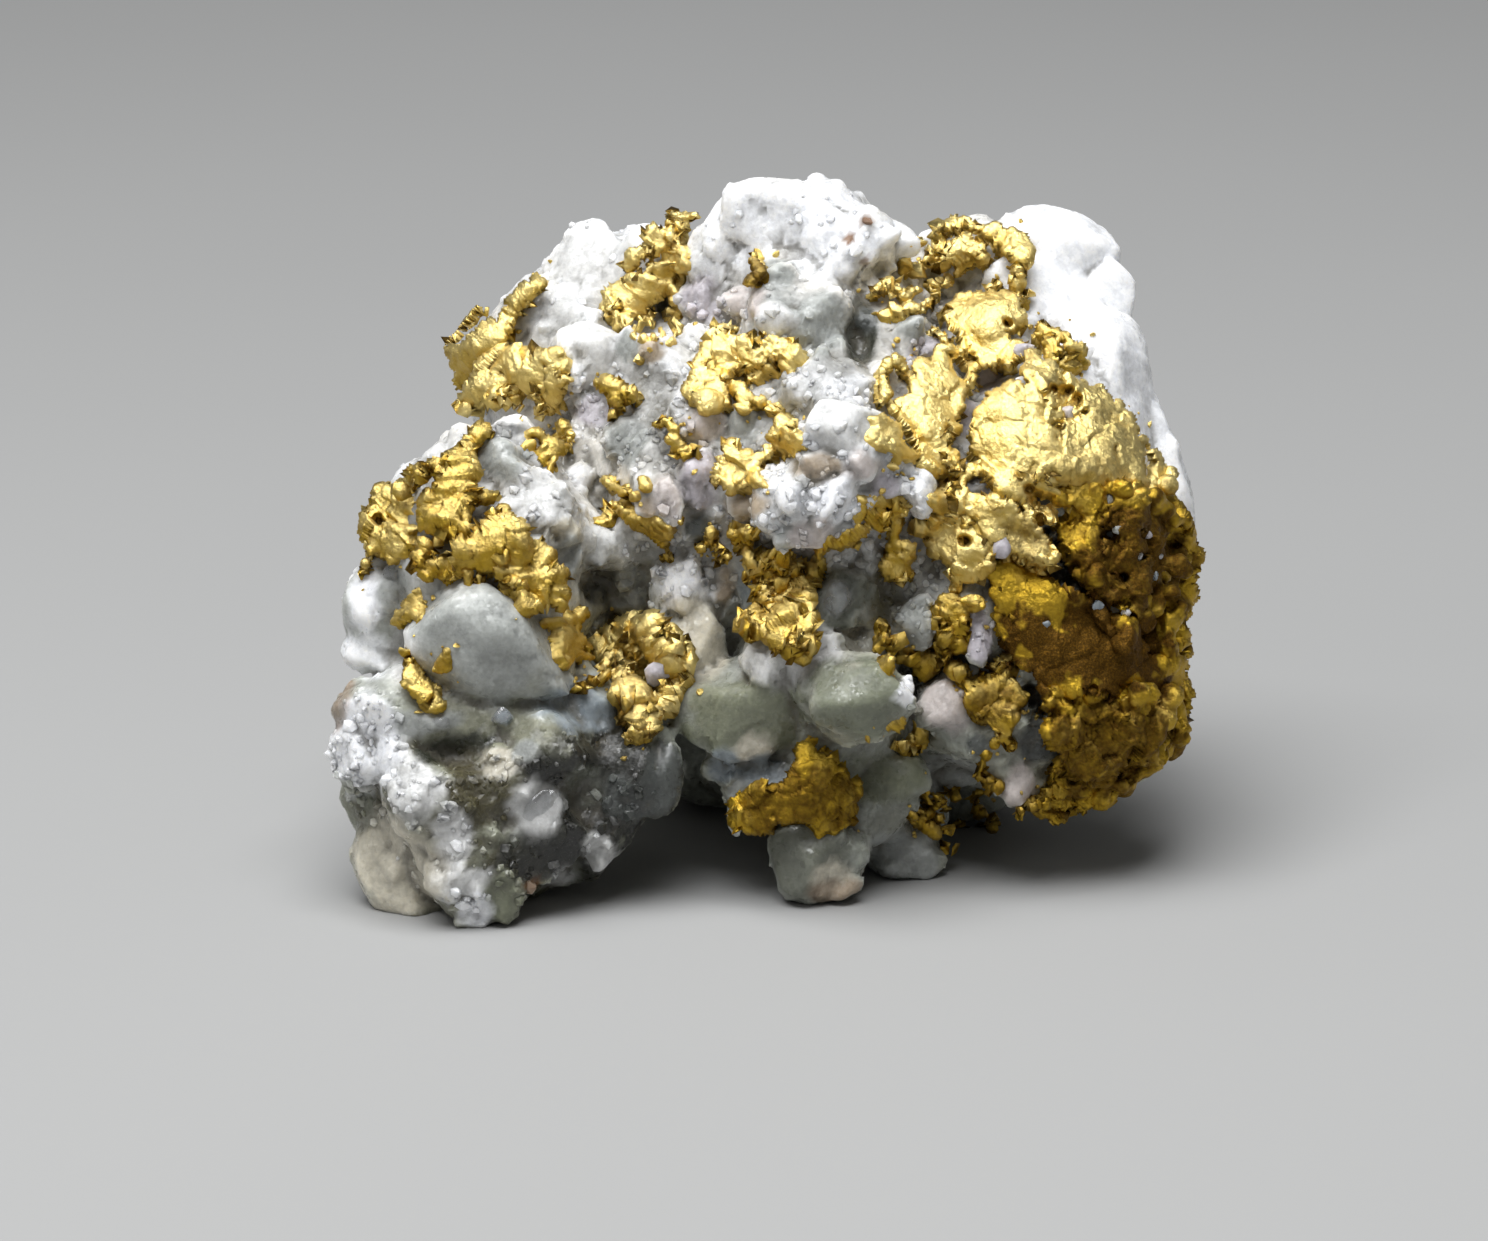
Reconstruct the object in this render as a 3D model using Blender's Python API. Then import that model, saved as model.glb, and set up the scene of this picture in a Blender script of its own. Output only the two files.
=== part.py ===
"""Gold in quartz: one lump of milky vein quartz, its crystals grown together, and the native gold in it.

The shapes are worked out in millimetres and stored in metres. +X runs to the right across the show face,
+Y runs towards the back and +Z is up. The lump rests on flat spots under its feet, at Z = 0.

Most places are given on the show face, which leans back. "across" is to the right, "up" runs up the
leaning face from the toe of the left foot, and "out" stands out of the face, towards the viewer.
"""

import math
import random

import bmesh
import bpy
from mathutils import Matrix, Vector
from mathutils.bvhtree import BVHTree

MM = 0.001

# Driving dimensions, in millimetres and degrees.
LEAN_DEG = 15.0  # the show face leans back by this much
FACE_DROP = 0.42  # brings the toe of the left foot, which stands out of the face, down to the floor
CENTRE = (0.13, 4.33)  # across and back from the face's zero to the middle of the lump
GAP = 0.06  # between the quartz and each gold piece, and between gold pieces
SHORT_EDGES = [0.08 - 0.005 * i for i in range(13)]  # edges this short are closed up, the largest first
MOST_CHANGE = 0.02  # but only where the solid's volume changes by less than this share
SAME_PLANE = math.radians(0.5)  # facets this close in direction become one
FLOOR_SLAB = (40.0, 4.0)  # width and thickness of the slab that flattens the feet

# How a crystal is cut from a block.
BLOCK = 1.25  # half width of the block, as a share of the crystal's half size
PLANE_DEPTH = (0.84, 1.0)  # how far out the planes that cut it stand, as a share of its half size
UNEVEN = 0.25  # how far a plane's direction is nudged from an even spread
TUMBLE = 1.4  # the most that a crystal's block tips over, in radians
LEAST_TUMBLE = 0.3  # and the least, as a share of that
LUMP_FACES = 18  # planes that cut an inner lump
CRYSTAL_FACES = 12  # a crystal of the show face
BACK_FACES = 10  # a crystal of the back
PIT_FACES = 8  # a hollow's cutter
SUNK = 0.35  # how deep a face crystal's middle lies in the lumps, as a share of its half size
BACK_SUNK = 0.62  # and a back crystal's, as a share of its smallest half size
TOUCHING = 1.6  # crystals whose middles are nearer than their largest half sizes times this may meet

# How gold lies on the quartz.
BEAD_FACES = 7  # planes that cut a bead
GOLD_TUMBLE = 0.3  # a bead keeps its top along the surface
GOLD_WIDTH = (1.0, 1.2)  # a bead's half sizes along the surface, as a share of the width in the tables
GOLD_THICK = (0.5, 0.08)  # its half thickness: this share of the width, plus this
MOST_GOLD = 0.38  # half thickness of the thickest gold
GOLD_LIFT = 0.45  # how far a bead's middle stands off the quartz, as a share of its half thickness
SEAT_RING = (6, 0.7)  # rays cast round a bead to find how the surface slopes, and their share of its width
BRIDGE = (0.4, 2.4)  # a bridging bead's share of the two beads' sizes, and the gap in its sizes that needs it

# Where the sequences of random numbers start.
SEED = 11
FACE_SEED, EDGE_SEED, BACK_SEED, PIT_SEED, GOLD_SEED, BRIDGE_SEED = 111, 211, 311, 411, 1011, 2011

# The inner lumps that carry the crystals: across, up, out, then half sizes across, up and out.
LUMPS = (
    (0.5, 7.3, -2.9, 4.3, 3.8, 3.9),  # middle
    (4.5, 6.5, -2.6, 2.5, 3.3, 3.0),  # right shoulder, under the large gold
    (4.4, 9.1, -4.4, 2.1, 2.8, 2.5),  # right back
    (0.8, 10.7, -2.9, 2.0, 1.6, 2.1),  # crown
    (-2.9, 9.3, -3.9, 2.0, 2.0, 2.4),  # left back
    (-4.5, 6.1, -1.0, 2.0, 2.1, 2.4),  # left shoulder
    (-4.7, 2.7, -0.5, 2.2, 2.3, 2.2),  # left foot
    (-2.8, 2.7, -0.6, 1.2, 1.3, 1.7),  # inner side of the left foot
    (1.0, 3.9, -1.3, 1.7, 1.8, 2.2),  # above the middle foot
    (1.0, 1.5, -0.7, 0.8, 1.0, 0.9),  # middle foot
    (4.5, 3.8, -2.2, 2.4, 1.6, 2.4),  # below the right shoulder
    (0.4, 5.6, -6.0, 3.9, 3.3, 2.3),  # back
    (2.4, 1.9, -2.2, 0.8, 1.1, 1.0),  # right foot
)

# Crystals that can be told apart on the show face: across, up, lift above the lumps, then half sizes
# across, up and out, and roll in degrees.
FACE_CRYSTALS = (
    # left foot
    (-6.3, 5.2, 0.0, 0.6, 1.0, 0.7, 10),
    (-4.5, 4.9, 0.35, 1.3, 0.95, 0.9, -18),
    (-3.0, 3.85, 0.3, 0.65, 0.55, 0.6, -10),
    (-6.0, 3.6, 0.0, 1.0, 0.8, 0.9, 0),
    (-5.3, 2.2, 0.1, 0.85, 0.8, 0.7, 20),
    (-4.75, 1.2, 0.1, 0.85, 1.0, 0.9, 0),
    (-3.65, 1.75, 0.15, 0.75, 0.8, 0.7, 30),
    (-2.6, 1.8, 0.1, 0.65, 0.65, 0.7, 35),
    (-2.1, 2.6, 0.1, 0.6, 0.8, 0.7, 0),
    (-3.6, 2.9, 0.1, 0.75, 0.5, 0.6, 0),
    (-3.5, 3.3, 0.15, 0.45, 0.4, 0.4, 15),
    (-4.1, 2.45, 0.2, 0.4, 0.45, 0.4, 0),
    (-2.95, 1.15, 0.2, 0.4, 0.4, 0.45, 25),
    (-5.75, 2.9, 0.15, 0.45, 0.4, 0.4, -20),
    # middle, from the notch to the right shoulder
    (-1.17, 5.2, 0.35, 0.55, 1.05, 0.7, -6),
    (-0.3, 3.65, 0.35, 1.05, 0.85, 0.8, -12),
    (1.6, 3.95, 0.35, 0.9, 0.75, 0.85, -10),
    (0.7, 4.75, 0.15, 0.75, 0.45, 0.6, 0),
    (1.4, 5.65, 0.1, 0.5, 0.5, 0.5, 0),
    (2.6, 5.2, 0.15, 0.42, 0.48, 0.5, 20),
    (3.15, 3.8, 0.2, 0.52, 0.52, 0.5, -30),
    (3.6, 5.0, 0.15, 0.3, 0.52, 0.4, 0),
    (0.75, 4.3, 0.2, 0.5, 0.35, 0.4, 10),
    (1.95, 5.0, 0.1, 0.35, 0.4, 0.35, 0),
    (2.2, 2.6, 0.1, 0.75, 0.5, 0.7, 0),
    (4.3, 2.5, 0.1, 0.5, 0.5, 0.5, 0),
    (0.1, 2.8, 0.0, 0.75, 0.5, 0.5, 0),
    (-2.6, 6.4, 0.1, 0.5, 0.5, 0.5, 0),
    # upper left
    (-4.2, 7.7, 0.1, 0.8, 0.85, 0.7, 20),
    (-3.6, 6.9, 0.15, 0.6, 0.6, 0.6, 0),
    (-2.7, 8.0, 0.1, 0.6, 0.75, 0.6, 0),
    (-1.75, 7.3, 0.15, 0.4, 0.5, 0.45, 25),
    (-3.1, 6.55, 0.2, 0.36, 0.3, 0.35, 0),
    (-1.2, 8.3, 0.1, 0.55, 0.4, 0.4, 0),
    (-1.8, 9.4, 0.1, 0.55, 0.7, 0.5, 0),
    (-2.8, 9.5, 0.1, 0.8, 0.7, 0.6, 0),
    (-5.0, 8.0, -0.3, 0.5, 0.5, 0.6, 0),
    # centre and crown
    (0.7, 7.1, 0.25, 0.85, 0.75, 0.7, 10),
    (1.5, 7.9, 0.25, 0.85, 0.8, 0.7, 0),
    (0.5, 10.2, 0.2, 0.95, 0.75, 0.6, 15),
    (-0.6, 10.4, 0.1, 0.6, 0.5, 0.5, 0),
    (-0.7, 11.3, 0.1, 0.7, 0.6, 0.6, 30),
    (0.6, 11.95, 0.0, 1.2, 0.65, 0.9, 0),
    (1.6, 11.55, 0.0, 0.75, 0.6, 0.8, -20),
    (1.1, 9.0, 0.1, 0.75, 0.5, 0.5, 0),
    (2.4, 9.7, -0.1, 0.4, 0.5, 0.4, 0),
    (2.45, 7.45, 0.1, 0.5, 0.36, 0.4, -30),
    (0.3, 10.95, 0.15, 0.38, 0.32, 0.35, 0),
    (1.3, 8.75, 0.15, 0.4, 0.35, 0.35, 20),
)

# Crystals of the far edges, which stand well behind the face: across, up, out, half sizes and roll.
EDGE_CRYSTALS = (
    (4.7, 10.4, -3.9, 1.3, 1.4, 1.6, -20),
    (5.25, 8.9, -3.8, 1.25, 1.8, 1.5, 0),
    (6.3, 7.3, -3.4, 0.98, 1.4, 1.4, 0),
    (3.6, 11.2, -4.1, 1.1, 0.9, 1.1, 0),
    (2.4, 11.3, -3.2, 0.4, 0.55, 0.5, 0),
    (-2.7, 10.9, -3.4, 0.8, 0.95, 0.9, 0),
    (-3.4, 10.1, -3.4, 0.85, 0.95, 0.9, 30),
    (-1.9, 11.2, -2.8, 0.65, 0.6, 0.7, 0),
    (-4.1, 9.5, -3.9, 0.9, 1.0, 0.9, 40),
    (-6.0, 1.7, -0.6, 0.75, 1.1, 1.3, 15),
    (-4.7, 0.75, 0.9, 0.75, 0.75, 0.7, 0),
    (0.35, 2.35, -0.5, 0.95, 0.7, 0.9, 0),
    (1.9, 2.2, -0.8, 0.7, 0.75, 0.8, 0),
    (1.05, 1.1, -0.3, 0.72, 0.75, 0.7, 0),
    (2.4, 1.35, -1.6, 0.65, 0.7, 0.7, 0),
    (-0.8, 2.9, -5.6, 1.2, 1.1, 1.2, 0),
    (3.5, 2.6, -4.9, 1.1, 1.0, 1.1, 0),
)

# Hollows in the face: across, up, half sizes across, up and out, and roll.
PITS = (
    (1.68, 9.9, 0.24, 0.6, 0.75, 0),  # dark cleft under the crown
    (-5.05, 2.95, 0.62, 0.27, 0.6, -12),  # slot in the left foot
    (-2.65, 5.75, 0.4, 0.36, 0.6, 0),  # hole left of the tall crystal
)

BACK_CRYSTALS = 34  # further crystals, spread over the sides, the back and the underside
BACK_SIZE = (0.85, 1.4)  # their smallest and largest half size
BACK_MIDDLE = (0.2, 6.2, -3.2)  # the middle that they are spread round: across, up and out
BACK_LIMIT = -0.2  # how squarely they face away from the viewer, from -1 for straight back to 0 for the side

# Gold masses: each is a chain of beads on the face, as across, up and half width.
FACE_GOLD = {
    "gold_crest": (
        # the arm, from the top down to the right
        (3.3, 10.3, 0.45), (3.9, 10.05, 0.55), (4.5, 9.6, 0.52), (5.1, 9.05, 0.5), (5.75, 8.5, 0.5),
        (6.15, 8.1, 0.45),
        # the patches left of it
        (3.0, 9.35, 0.55), (2.25, 9.25, 0.34), (2.63, 8.5, 0.8), (2.8, 7.8, 0.45),
        # the domes, and the plates below them
        (4.25, 8.75, 0.72), (4.15, 7.95, 0.7), (5.4, 7.95, 0.7), (3.45, 7.15, 0.6), (4.35, 6.75, 0.72),
        (3.4, 6.3, 0.5),
    ),
    "gold_east": ((5.75, 6.75, 0.85), (6.5, 6.6, 0.7), (6.05, 5.8, 0.8)),
    "gold_slab": ((4.67, 5.67, 0.72), (4.95, 4.7, 0.88), (5.9, 4.6, 0.9), (6.55, 4.6, 0.65)),
    "gold_skirt": (
        (4.35, 3.65, 0.5), (5.0, 3.3, 0.62), (5.85, 3.2, 0.7), (6.6, 3.45, 0.52), (5.4, 2.6, 0.48),
    ),
    "gold_rim": ((3.75, 1.9, 0.55), (4.3, 1.95, 0.55), (4.8, 2.15, 0.5)),
    "gold_toe": ((2.85, 1.95, 0.5), (3.3, 1.8, 0.5)),
    "gold_lattice": ((3.05, 4.55, 0.38), (3.2, 5.15, 0.36), (2.35, 4.6, 0.38), (3.7, 4.35, 0.44)),
    "gold_saddle": ((2.1, 7.0, 0.36), (2.27, 6.45, 0.36), (2.32, 6.0, 0.36)),
    "gold_glint": ((2.38, 3.2, 0.36),),
    "gold_cap": (
        (2.85, 11.45, 0.38), (3.4, 11.7, 0.4), (4.0, 11.55, 0.4), (3.3, 11.3, 0.46), (2.8, 11.15, 0.34),
        (4.35, 11.15, 0.34), (4.33, 10.7, 0.32),
    ),
    "gold_branch": ((2.08, 10.65, 0.28), (2.45, 10.42, 0.34)),
    "gold_crust": ((5.1, 9.75, 0.4),),
    "gold_spur": (
        (-1.45, 11.5, 0.38), (-1.62, 11.1, 0.46), (-1.62, 10.7, 0.5), (-2.15, 10.45, 0.46),
        (-1.85, 10.2, 0.38),
    ),
    "gold_fleck": ((-0.05, 11.03, 0.26),),
    "gold_ledge": ((-4.6, 9.05, 0.42), (-4.05, 9.33, 0.48), (-3.5, 9.35, 0.42), (-3.55, 8.85, 0.36)),
    "gold_beads": ((-3.5, 8.12, 0.36),),
    "gold_west": (
        (-5.15, 7.35, 0.52), (-4.75, 6.75, 0.44), (-5.3, 6.35, 0.4), (-4.35, 6.3, 0.46),
        (-3.78, 6.2, 0.42), (-3.72, 5.65, 0.5),
    ),
    "gold_tip": ((-4.88, 8.0, 0.4),),
    "gold_cluster": ((-6.2, 7.08, 0.44), (-6.33, 6.45, 0.42)),
    "gold_arc": ((-0.75, 9.5, 0.42), (-0.1, 9.72, 0.44), (0.5, 9.58, 0.34), (-0.88, 8.95, 0.42)),
    "gold_chain": ((-0.15, 8.85, 0.3),),
    "gold_grain": ((0.45, 8.22, 0.34),),
    "gold_shelf": ((-0.53, 7.58, 0.38), (-0.02, 7.8, 0.36)),
    "gold_thread": ((-1.45, 8.55, 0.36), (-1.2, 8.2, 0.36)),
    "gold_flake": ((-2.33, 8.93, 0.32),),
    "gold_leaf": ((-2.3, 7.28, 0.34), (-1.95, 6.95, 0.38), (-1.55, 6.75, 0.32)),
    "gold_strip": ((-0.38, 6.68, 0.36),),
    "gold_curtain": (
        (0.1, 6.05, 0.36), (0.38, 5.65, 0.46), (0.35, 5.25, 0.46), (0.08, 4.95, 0.4), (0.65, 4.95, 0.38),
    ),
    "gold_hook": ((-2.0, 4.35, 0.5), (-1.6, 4.6, 0.4), (-1.55, 4.0, 0.4), (-1.95, 3.6, 0.46)),
    "gold_frame": ((-2.65, 4.7, 0.42), (-2.2, 4.95, 0.4)),
    "gold_sheet": ((-3.1, 5.0, 0.34), (-3.08, 4.55, 0.32)),
    "gold_nodule": ((-5.75, 4.15, 0.3), (-5.5, 3.85, 0.32)),
    "gold_chip": ((-5.83, 5.42, 0.3),),
    "gold_apron": ((-0.08, 2.05, 0.42), (0.6, 2.4, 0.64), (1.25, 2.15, 0.46), (0.95, 2.95, 0.4)),
    "gold_shoulder": ((-3.8, 10.55, 0.34), (-4.35, 9.9, 0.5), (-4.8, 9.35, 0.4)),
}

# Where the large gold turns the corner onto the right side: out, up and half width, on the right side.
RIGHT_GOLD = {
    "gold_crest": ((-0.8, 7.7, 0.6), (-1.7, 7.9, 0.5)),
    "gold_east": ((-0.7, 6.6, 0.75), (-1.6, 6.1, 0.75), (-2.3, 6.6, 0.5)),
    "gold_slab": ((-0.8, 4.7, 0.7), (-1.7, 4.7, 0.65)),
    "gold_skirt": ((-0.9, 3.6, 0.55), (-1.7, 3.45, 0.5)),
}

# Gold seen from behind: across, up and half width, on the back.
BACK_GOLD = {
    "gold_back_vein": ((-2.2, 7.8, 0.46), (-1.7, 7.5, 0.52), (-1.15, 7.25, 0.5), (-0.65, 7.05, 0.44)),
    "gold_back_patch": ((3.3, 6.2, 0.45), (3.9, 5.6, 0.5)),
    "gold_back_knot": ((1.6, 9.6, 0.4),),
}

# Finishes: colour, roughness and metallic.
QUARTZ_FINISH = ((0.74, 0.74, 0.72, 1.0), 0.35, 0.0)
GOLD_FINISH = ((0.90, 0.62, 0.16, 1.0), 0.3, 1.0)

LEAN = math.radians(LEAN_DEG)
ACROSS = Vector((1, 0, 0))
UP = Vector((0, math.sin(LEAN), math.cos(LEAN)))
OUT = Vector((0, -math.cos(LEAN), math.sin(LEAN)))
FAR = 30.0  # a ray starts this far outside the lump


def on_face(across, up, out):
    """A place on the leaning show face, in the lump's own frame."""
    place = ACROSS * across + UP * up + OUT * out
    return place - Vector((CENTRE[0], CENTRE[1], FACE_DROP))


def spread_directions(count, dice):
    """Unit vectors spread evenly on a sphere along a spiral, each nudged a little."""
    golden_turn = math.pi * (3 - math.sqrt(5))
    found = []
    for i in range(count):
        height = 1 - 2 * (i + 0.5) / count
        ring = math.sqrt(1 - height * height)
        way = Vector((ring * math.cos(golden_turn * i), ring * math.sin(golden_turn * i), height))
        nudge = Vector([dice.uniform(-UNEVEN, UNEVEN) for _ in range(3)])
        found.append((way + nudge).normalized())
    return found


def flat_faced(half, basis, centre, faces, tumble, seed, grow=0.0):
    """A crystal: a block whose corners are cut by planes that touch an ellipsoid, as a closed bmesh. basis
    holds its three axes as columns, tumble is the most that the block may tip, and grow adds to every half
    size."""
    dice = random.Random(seed)
    turn = Matrix.Rotation(dice.uniform(0, math.tau), 3, "Z")
    turn @= Matrix.Rotation(dice.uniform(LEAST_TUMBLE, 1) * tumble, 3, "X")
    mesh = bmesh.new()
    bmesh.ops.create_cube(mesh, size=2 * BLOCK)
    mesh.transform(turn.to_4x4())
    for way in spread_directions(faces, dice):
        normal = turn @ way
        depth = dice.uniform(*PLANE_DEPTH)
        everything = mesh.verts[:] + mesh.edges[:] + mesh.faces[:]
        cut = bmesh.ops.bisect_plane(
            mesh, geom=everything, plane_co=normal * depth, plane_no=normal, clear_outer=True, dist=1e-5
        )
        rim = [e for e in cut["geom_cut"] if isinstance(e, bmesh.types.BMEdge)]
        if rim:
            bmesh.ops.contextual_create(mesh, geom=rim)
    sizes = Matrix.Diagonal(Vector([h + grow for h in half]).to_4d())
    mesh.transform(Matrix.Translation(centre) @ basis.to_4x4() @ sizes)
    bmesh.ops.recalc_face_normals(mesh, faces=mesh.faces[:])
    if mesh.calc_volume(signed=True) < 0:
        bmesh.ops.reverse_faces(mesh, faces=mesh.faces[:])
    return mesh


class Crystal:
    """One convex crystal or gold bead, kept as its measures so that it can be made again a little larger."""

    def __init__(self, centre, half, basis, faces, tumble, seed):
        self.centre = centre
        self.half = half
        self.basis = basis
        self.faces = faces
        self.tumble = tumble
        self.seed = seed

    def bmesh(self, clear=0.0):
        """The crystal's mesh, with every plane at least this far further out."""
        grow = clear / PLANE_DEPTH[0]
        return flat_faced(self.half, self.basis, self.centre, self.faces, self.tumble, self.seed, grow)

    def near(self, other):
        return (self.centre - other.centre).length < TOUCHING * (max(self.half) + max(other.half))


def face_basis(roll_deg=0.0):
    """Columns: across, up and out of the show face, rolled about out."""
    turn = Matrix.Rotation(math.radians(roll_deg), 3, OUT)
    return Matrix((turn @ ACROSS, turn @ UP, OUT)).transposed()


def seat_basis(normal):
    """Columns: two directions along the surface, then its normal."""
    side = ACROSS.cross(normal)
    side = side.normalized() if side.length > 0.1 else UP.cross(normal).normalized()
    return Matrix((side.cross(normal).normalized(), side, normal)).transposed()


def search_tree(crystals):
    """A tree for casting rays at a heap of crystals."""
    points, polygons = [], []
    for crystal in crystals:
        mesh = crystal.bmesh()
        first = len(points)
        points += [v.co.copy() for v in mesh.verts]
        polygons += [[first + v.index for v in f.verts] for f in mesh.faces]
        mesh.free()
    return BVHTree.FromPolygons(points, polygons)


def cast(tree, start, way):
    """Where a ray meets the heap, or the nearest place on it where the ray misses."""
    place, normal, _, _ = tree.ray_cast(start, way)
    if place is None:
        place, normal, _, _ = tree.find_nearest(start + way * FAR)
    return place, normal


def seat(tree, start, way, width):
    """Where a ray meets the heap, and the surface's direction there: the average over a ring of rays round
    it, with the ray's own direction counted for a little more than half of one."""
    rays, share = SEAT_RING
    place, _ = cast(tree, start, way)
    side = way.orthogonal().normalized()
    total = -way * 0.6
    for i in range(rays):
        ring = Matrix.Rotation(i * math.tau / rays, 3, way) @ side * width * share
        total += cast(tree, start + ring, way)[1]
    return place, total.normalized()


def quartz_crystals():
    """Every crystal of the lump: the inner lumps, then those that show."""
    found = []
    for i, (across, up, out, *half) in enumerate(LUMPS):
        found.append(Crystal(on_face(across, up, out), half, face_basis(), LUMP_FACES, TUMBLE, SEED + i))
    lumps = search_tree(found)
    for i, (across, up, lift, *half, roll) in enumerate(FACE_CRYSTALS):
        place, _ = cast(lumps, on_face(across, up, FAR), -OUT)
        centre = place + OUT * (lift - SUNK * half[2])
        centre += ACROSS * (on_face(across, 0, 0).x - centre.x)
        found.append(Crystal(centre, half, face_basis(roll), CRYSTAL_FACES, TUMBLE, FACE_SEED + i))
    for i, (across, up, out, *half, roll) in enumerate(EDGE_CRYSTALS):
        centre = on_face(across, up, out)
        found.append(Crystal(centre, half, face_basis(roll), CRYSTAL_FACES, TUMBLE, EDGE_SEED + i))
    return found + back_crystals(lumps)


def back_crystals(lumps):
    """Crystals spread over the sides, the back and the underside, sunk in the lumps they grow from."""
    dice = random.Random(SEED)
    middle = on_face(*BACK_MIDDLE)
    found = []
    for i, way in enumerate(spread_directions(BACK_CRYSTALS * 2, dice)):
        if way.dot(OUT) > BACK_LIMIT or len(found) == BACK_CRYSTALS:
            continue
        place, _ = cast(lumps, middle + way * FAR, -way)
        half = [dice.uniform(*BACK_SIZE) for _ in range(3)]
        centre = place - way * min(half) * BACK_SUNK
        turn = Matrix.Rotation(dice.uniform(0, math.tau), 3, way)
        found.append(Crystal(centre, half, turn @ seat_basis(way), BACK_FACES, TUMBLE, BACK_SEED + i))
    return found


def pits(crystals):
    """Cutters for the hollows of the face."""
    tree = search_tree(crystals)
    found = []
    for i, (across, up, *half, roll) in enumerate(PITS):
        place, _ = cast(tree, on_face(across, up, FAR), -OUT)
        found.append(Crystal(place, half, face_basis(roll), PIT_FACES, TUMBLE, PIT_SEED + i).bmesh())
    return found


def gold_bead(place, normal, width, seed):
    """One flattened bead of gold that lies on the quartz."""
    dice = random.Random(seed)
    share, least = GOLD_THICK
    thick = min(share * width + least, MOST_GOLD)
    half = (width * dice.uniform(*GOLD_WIDTH), width * dice.uniform(*GOLD_WIDTH), thick)
    centre = place + normal * GOLD_LIFT * thick
    return Crystal(centre, half, seat_basis(normal), BEAD_FACES, GOLD_TUMBLE, seed)


def bridge(bead, others, seed):
    """A bead half way to the nearest of the others, where that one stands too far off to join."""
    share, needed = BRIDGE
    nearest = min(others, key=lambda other: (other.centre - bead.centre).length)
    reach = share * (max(bead.half) + max(nearest.half))
    if (nearest.centre - bead.centre).length < needed * reach:
        return []
    normal = (bead.basis.col[2] + nearest.basis.col[2]).normalized()
    middle = (bead.centre + nearest.centre) / 2
    return [gold_bead(middle, normal, reach, seed)]


def gold_beads(tree):
    """The beads of every gold mass, by the mass's name."""
    starts = [
        (name, on_face(across, up, FAR), -OUT, width)
        for name, row in FACE_GOLD.items() for across, up, width in row
    ]
    starts += [
        (name, on_face(FAR, up, out), -ACROSS, width)
        for name, row in RIGHT_GOLD.items() for out, up, width in row
    ]
    starts += [
        (name, on_face(across, up, -FAR), OUT, width)
        for name, row in BACK_GOLD.items() for across, up, width in row
    ]
    beads = {}
    for i, (name, start, way, width) in enumerate(starts):
        place, normal = seat(tree, start, way, width)
        bead = gold_bead(place, normal, width, GOLD_SEED + i)
        mass = beads.setdefault(name, [])
        if mass:
            mass += bridge(bead, mass, BRIDGE_SEED + i)
        mass.append(bead)
    return beads


def helper(meshes, label):
    """A collection of cutters or of shapes to join, which doesn't become part of the object."""
    group = bpy.data.collections.new(label)
    bpy.context.scene.collection.children.link(group)
    for i, mesh in enumerate(meshes):
        data = bpy.data.meshes.new(f"{label}_{i}")
        mesh.to_mesh(data)
        mesh.free()
        shape = bpy.data.objects.new(f"{label}_{i}", data)
        shape.hide_render = True
        shape.display_type = "WIRE"
        group.objects.link(shape)
    return group


def clear_helper(group):
    for shape in list(group.objects):
        data = shape.data
        bpy.data.objects.remove(shape)
        bpy.data.meshes.remove(data)
    bpy.data.collections.remove(group)


def largest_body(mesh):
    """Keeps the largest connected body of a bmesh and drops the crumbs that a cut left."""
    unseen = set(mesh.verts)
    bodies = []
    while unseen:
        body = set()
        waiting = [unseen.pop()]
        while waiting:
            vert = waiting.pop()
            body.add(vert)
            found = {edge.other_vert(vert) for edge in vert.link_edges} & unseen
            unseen -= found
            waiting += found
        bodies.append(body)
    keep = max(bodies, key=len)
    bmesh.ops.delete(mesh, geom=[v for v in mesh.verts if v not in keep], context="VERTS")


def is_closed(mesh):
    """Whether a triangle mesh is closed, with no edge or corner where it only touches itself."""
    edges = all(e.is_manifold and e.is_contiguous for e in mesh.edges)
    return edges and all(v.is_manifold for v in mesh.verts)


def without_short_edges(mesh):
    """The mesh in triangles, with the tiny steps closed up that crossing facets leave."""
    bmesh.ops.triangulate(mesh, faces=mesh.faces[:])
    volume = mesh.calc_volume()
    for shortest in SHORT_EDGES:
        trial = mesh.copy()
        bmesh.ops.dissolve_degenerate(trial, dist=shortest, edges=trial.edges[:])
        bmesh.ops.triangulate(trial, faces=trial.faces[:])
        if is_closed(trial) and abs(trial.calc_volume() / volume - 1) < MOST_CHANGE:
            mesh.free()
            return trial
        trial.free()
    return mesh


def node(name, shapes, cutters, material):
    """One named solid: its shapes joined, the cutters taken away, and brought to metres."""
    joined = helper(shapes, "shape")
    cut = helper(cutters, "cutter")
    first = joined.objects[0]
    joined.objects.unlink(first)
    bpy.context.scene.collection.objects.link(first)
    steps = [("UNION", joined)] if joined.objects else []
    steps += [("DIFFERENCE", cut)] if cut.objects else []
    for operation, group in steps:
        step = first.modifiers.new(operation.title(), "BOOLEAN")
        step.operation = operation
        step.operand_type = "COLLECTION"
        step.collection = group
        step.solver = "EXACT"
    graph = bpy.context.evaluated_depsgraph_get()
    data = bpy.data.meshes.new_from_object(first.evaluated_get(graph))
    bpy.data.objects.remove(first)
    clear_helper(joined)
    clear_helper(cut)
    mesh = bmesh.new()
    mesh.from_mesh(data)
    bmesh.ops.dissolve_limit(mesh, angle_limit=SAME_PLANE, verts=mesh.verts[:], edges=mesh.edges[:])
    largest_body(mesh)
    mesh = without_short_edges(mesh)
    mesh.transform(Matrix.Scale(MM, 4))
    mesh.to_mesh(data)
    mesh.free()
    data.name = name
    data.materials.clear()
    data.materials.append(material)
    made = bpy.data.objects.new(name, data)
    bpy.context.scene.collection.objects.link(made)
    return made


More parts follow.
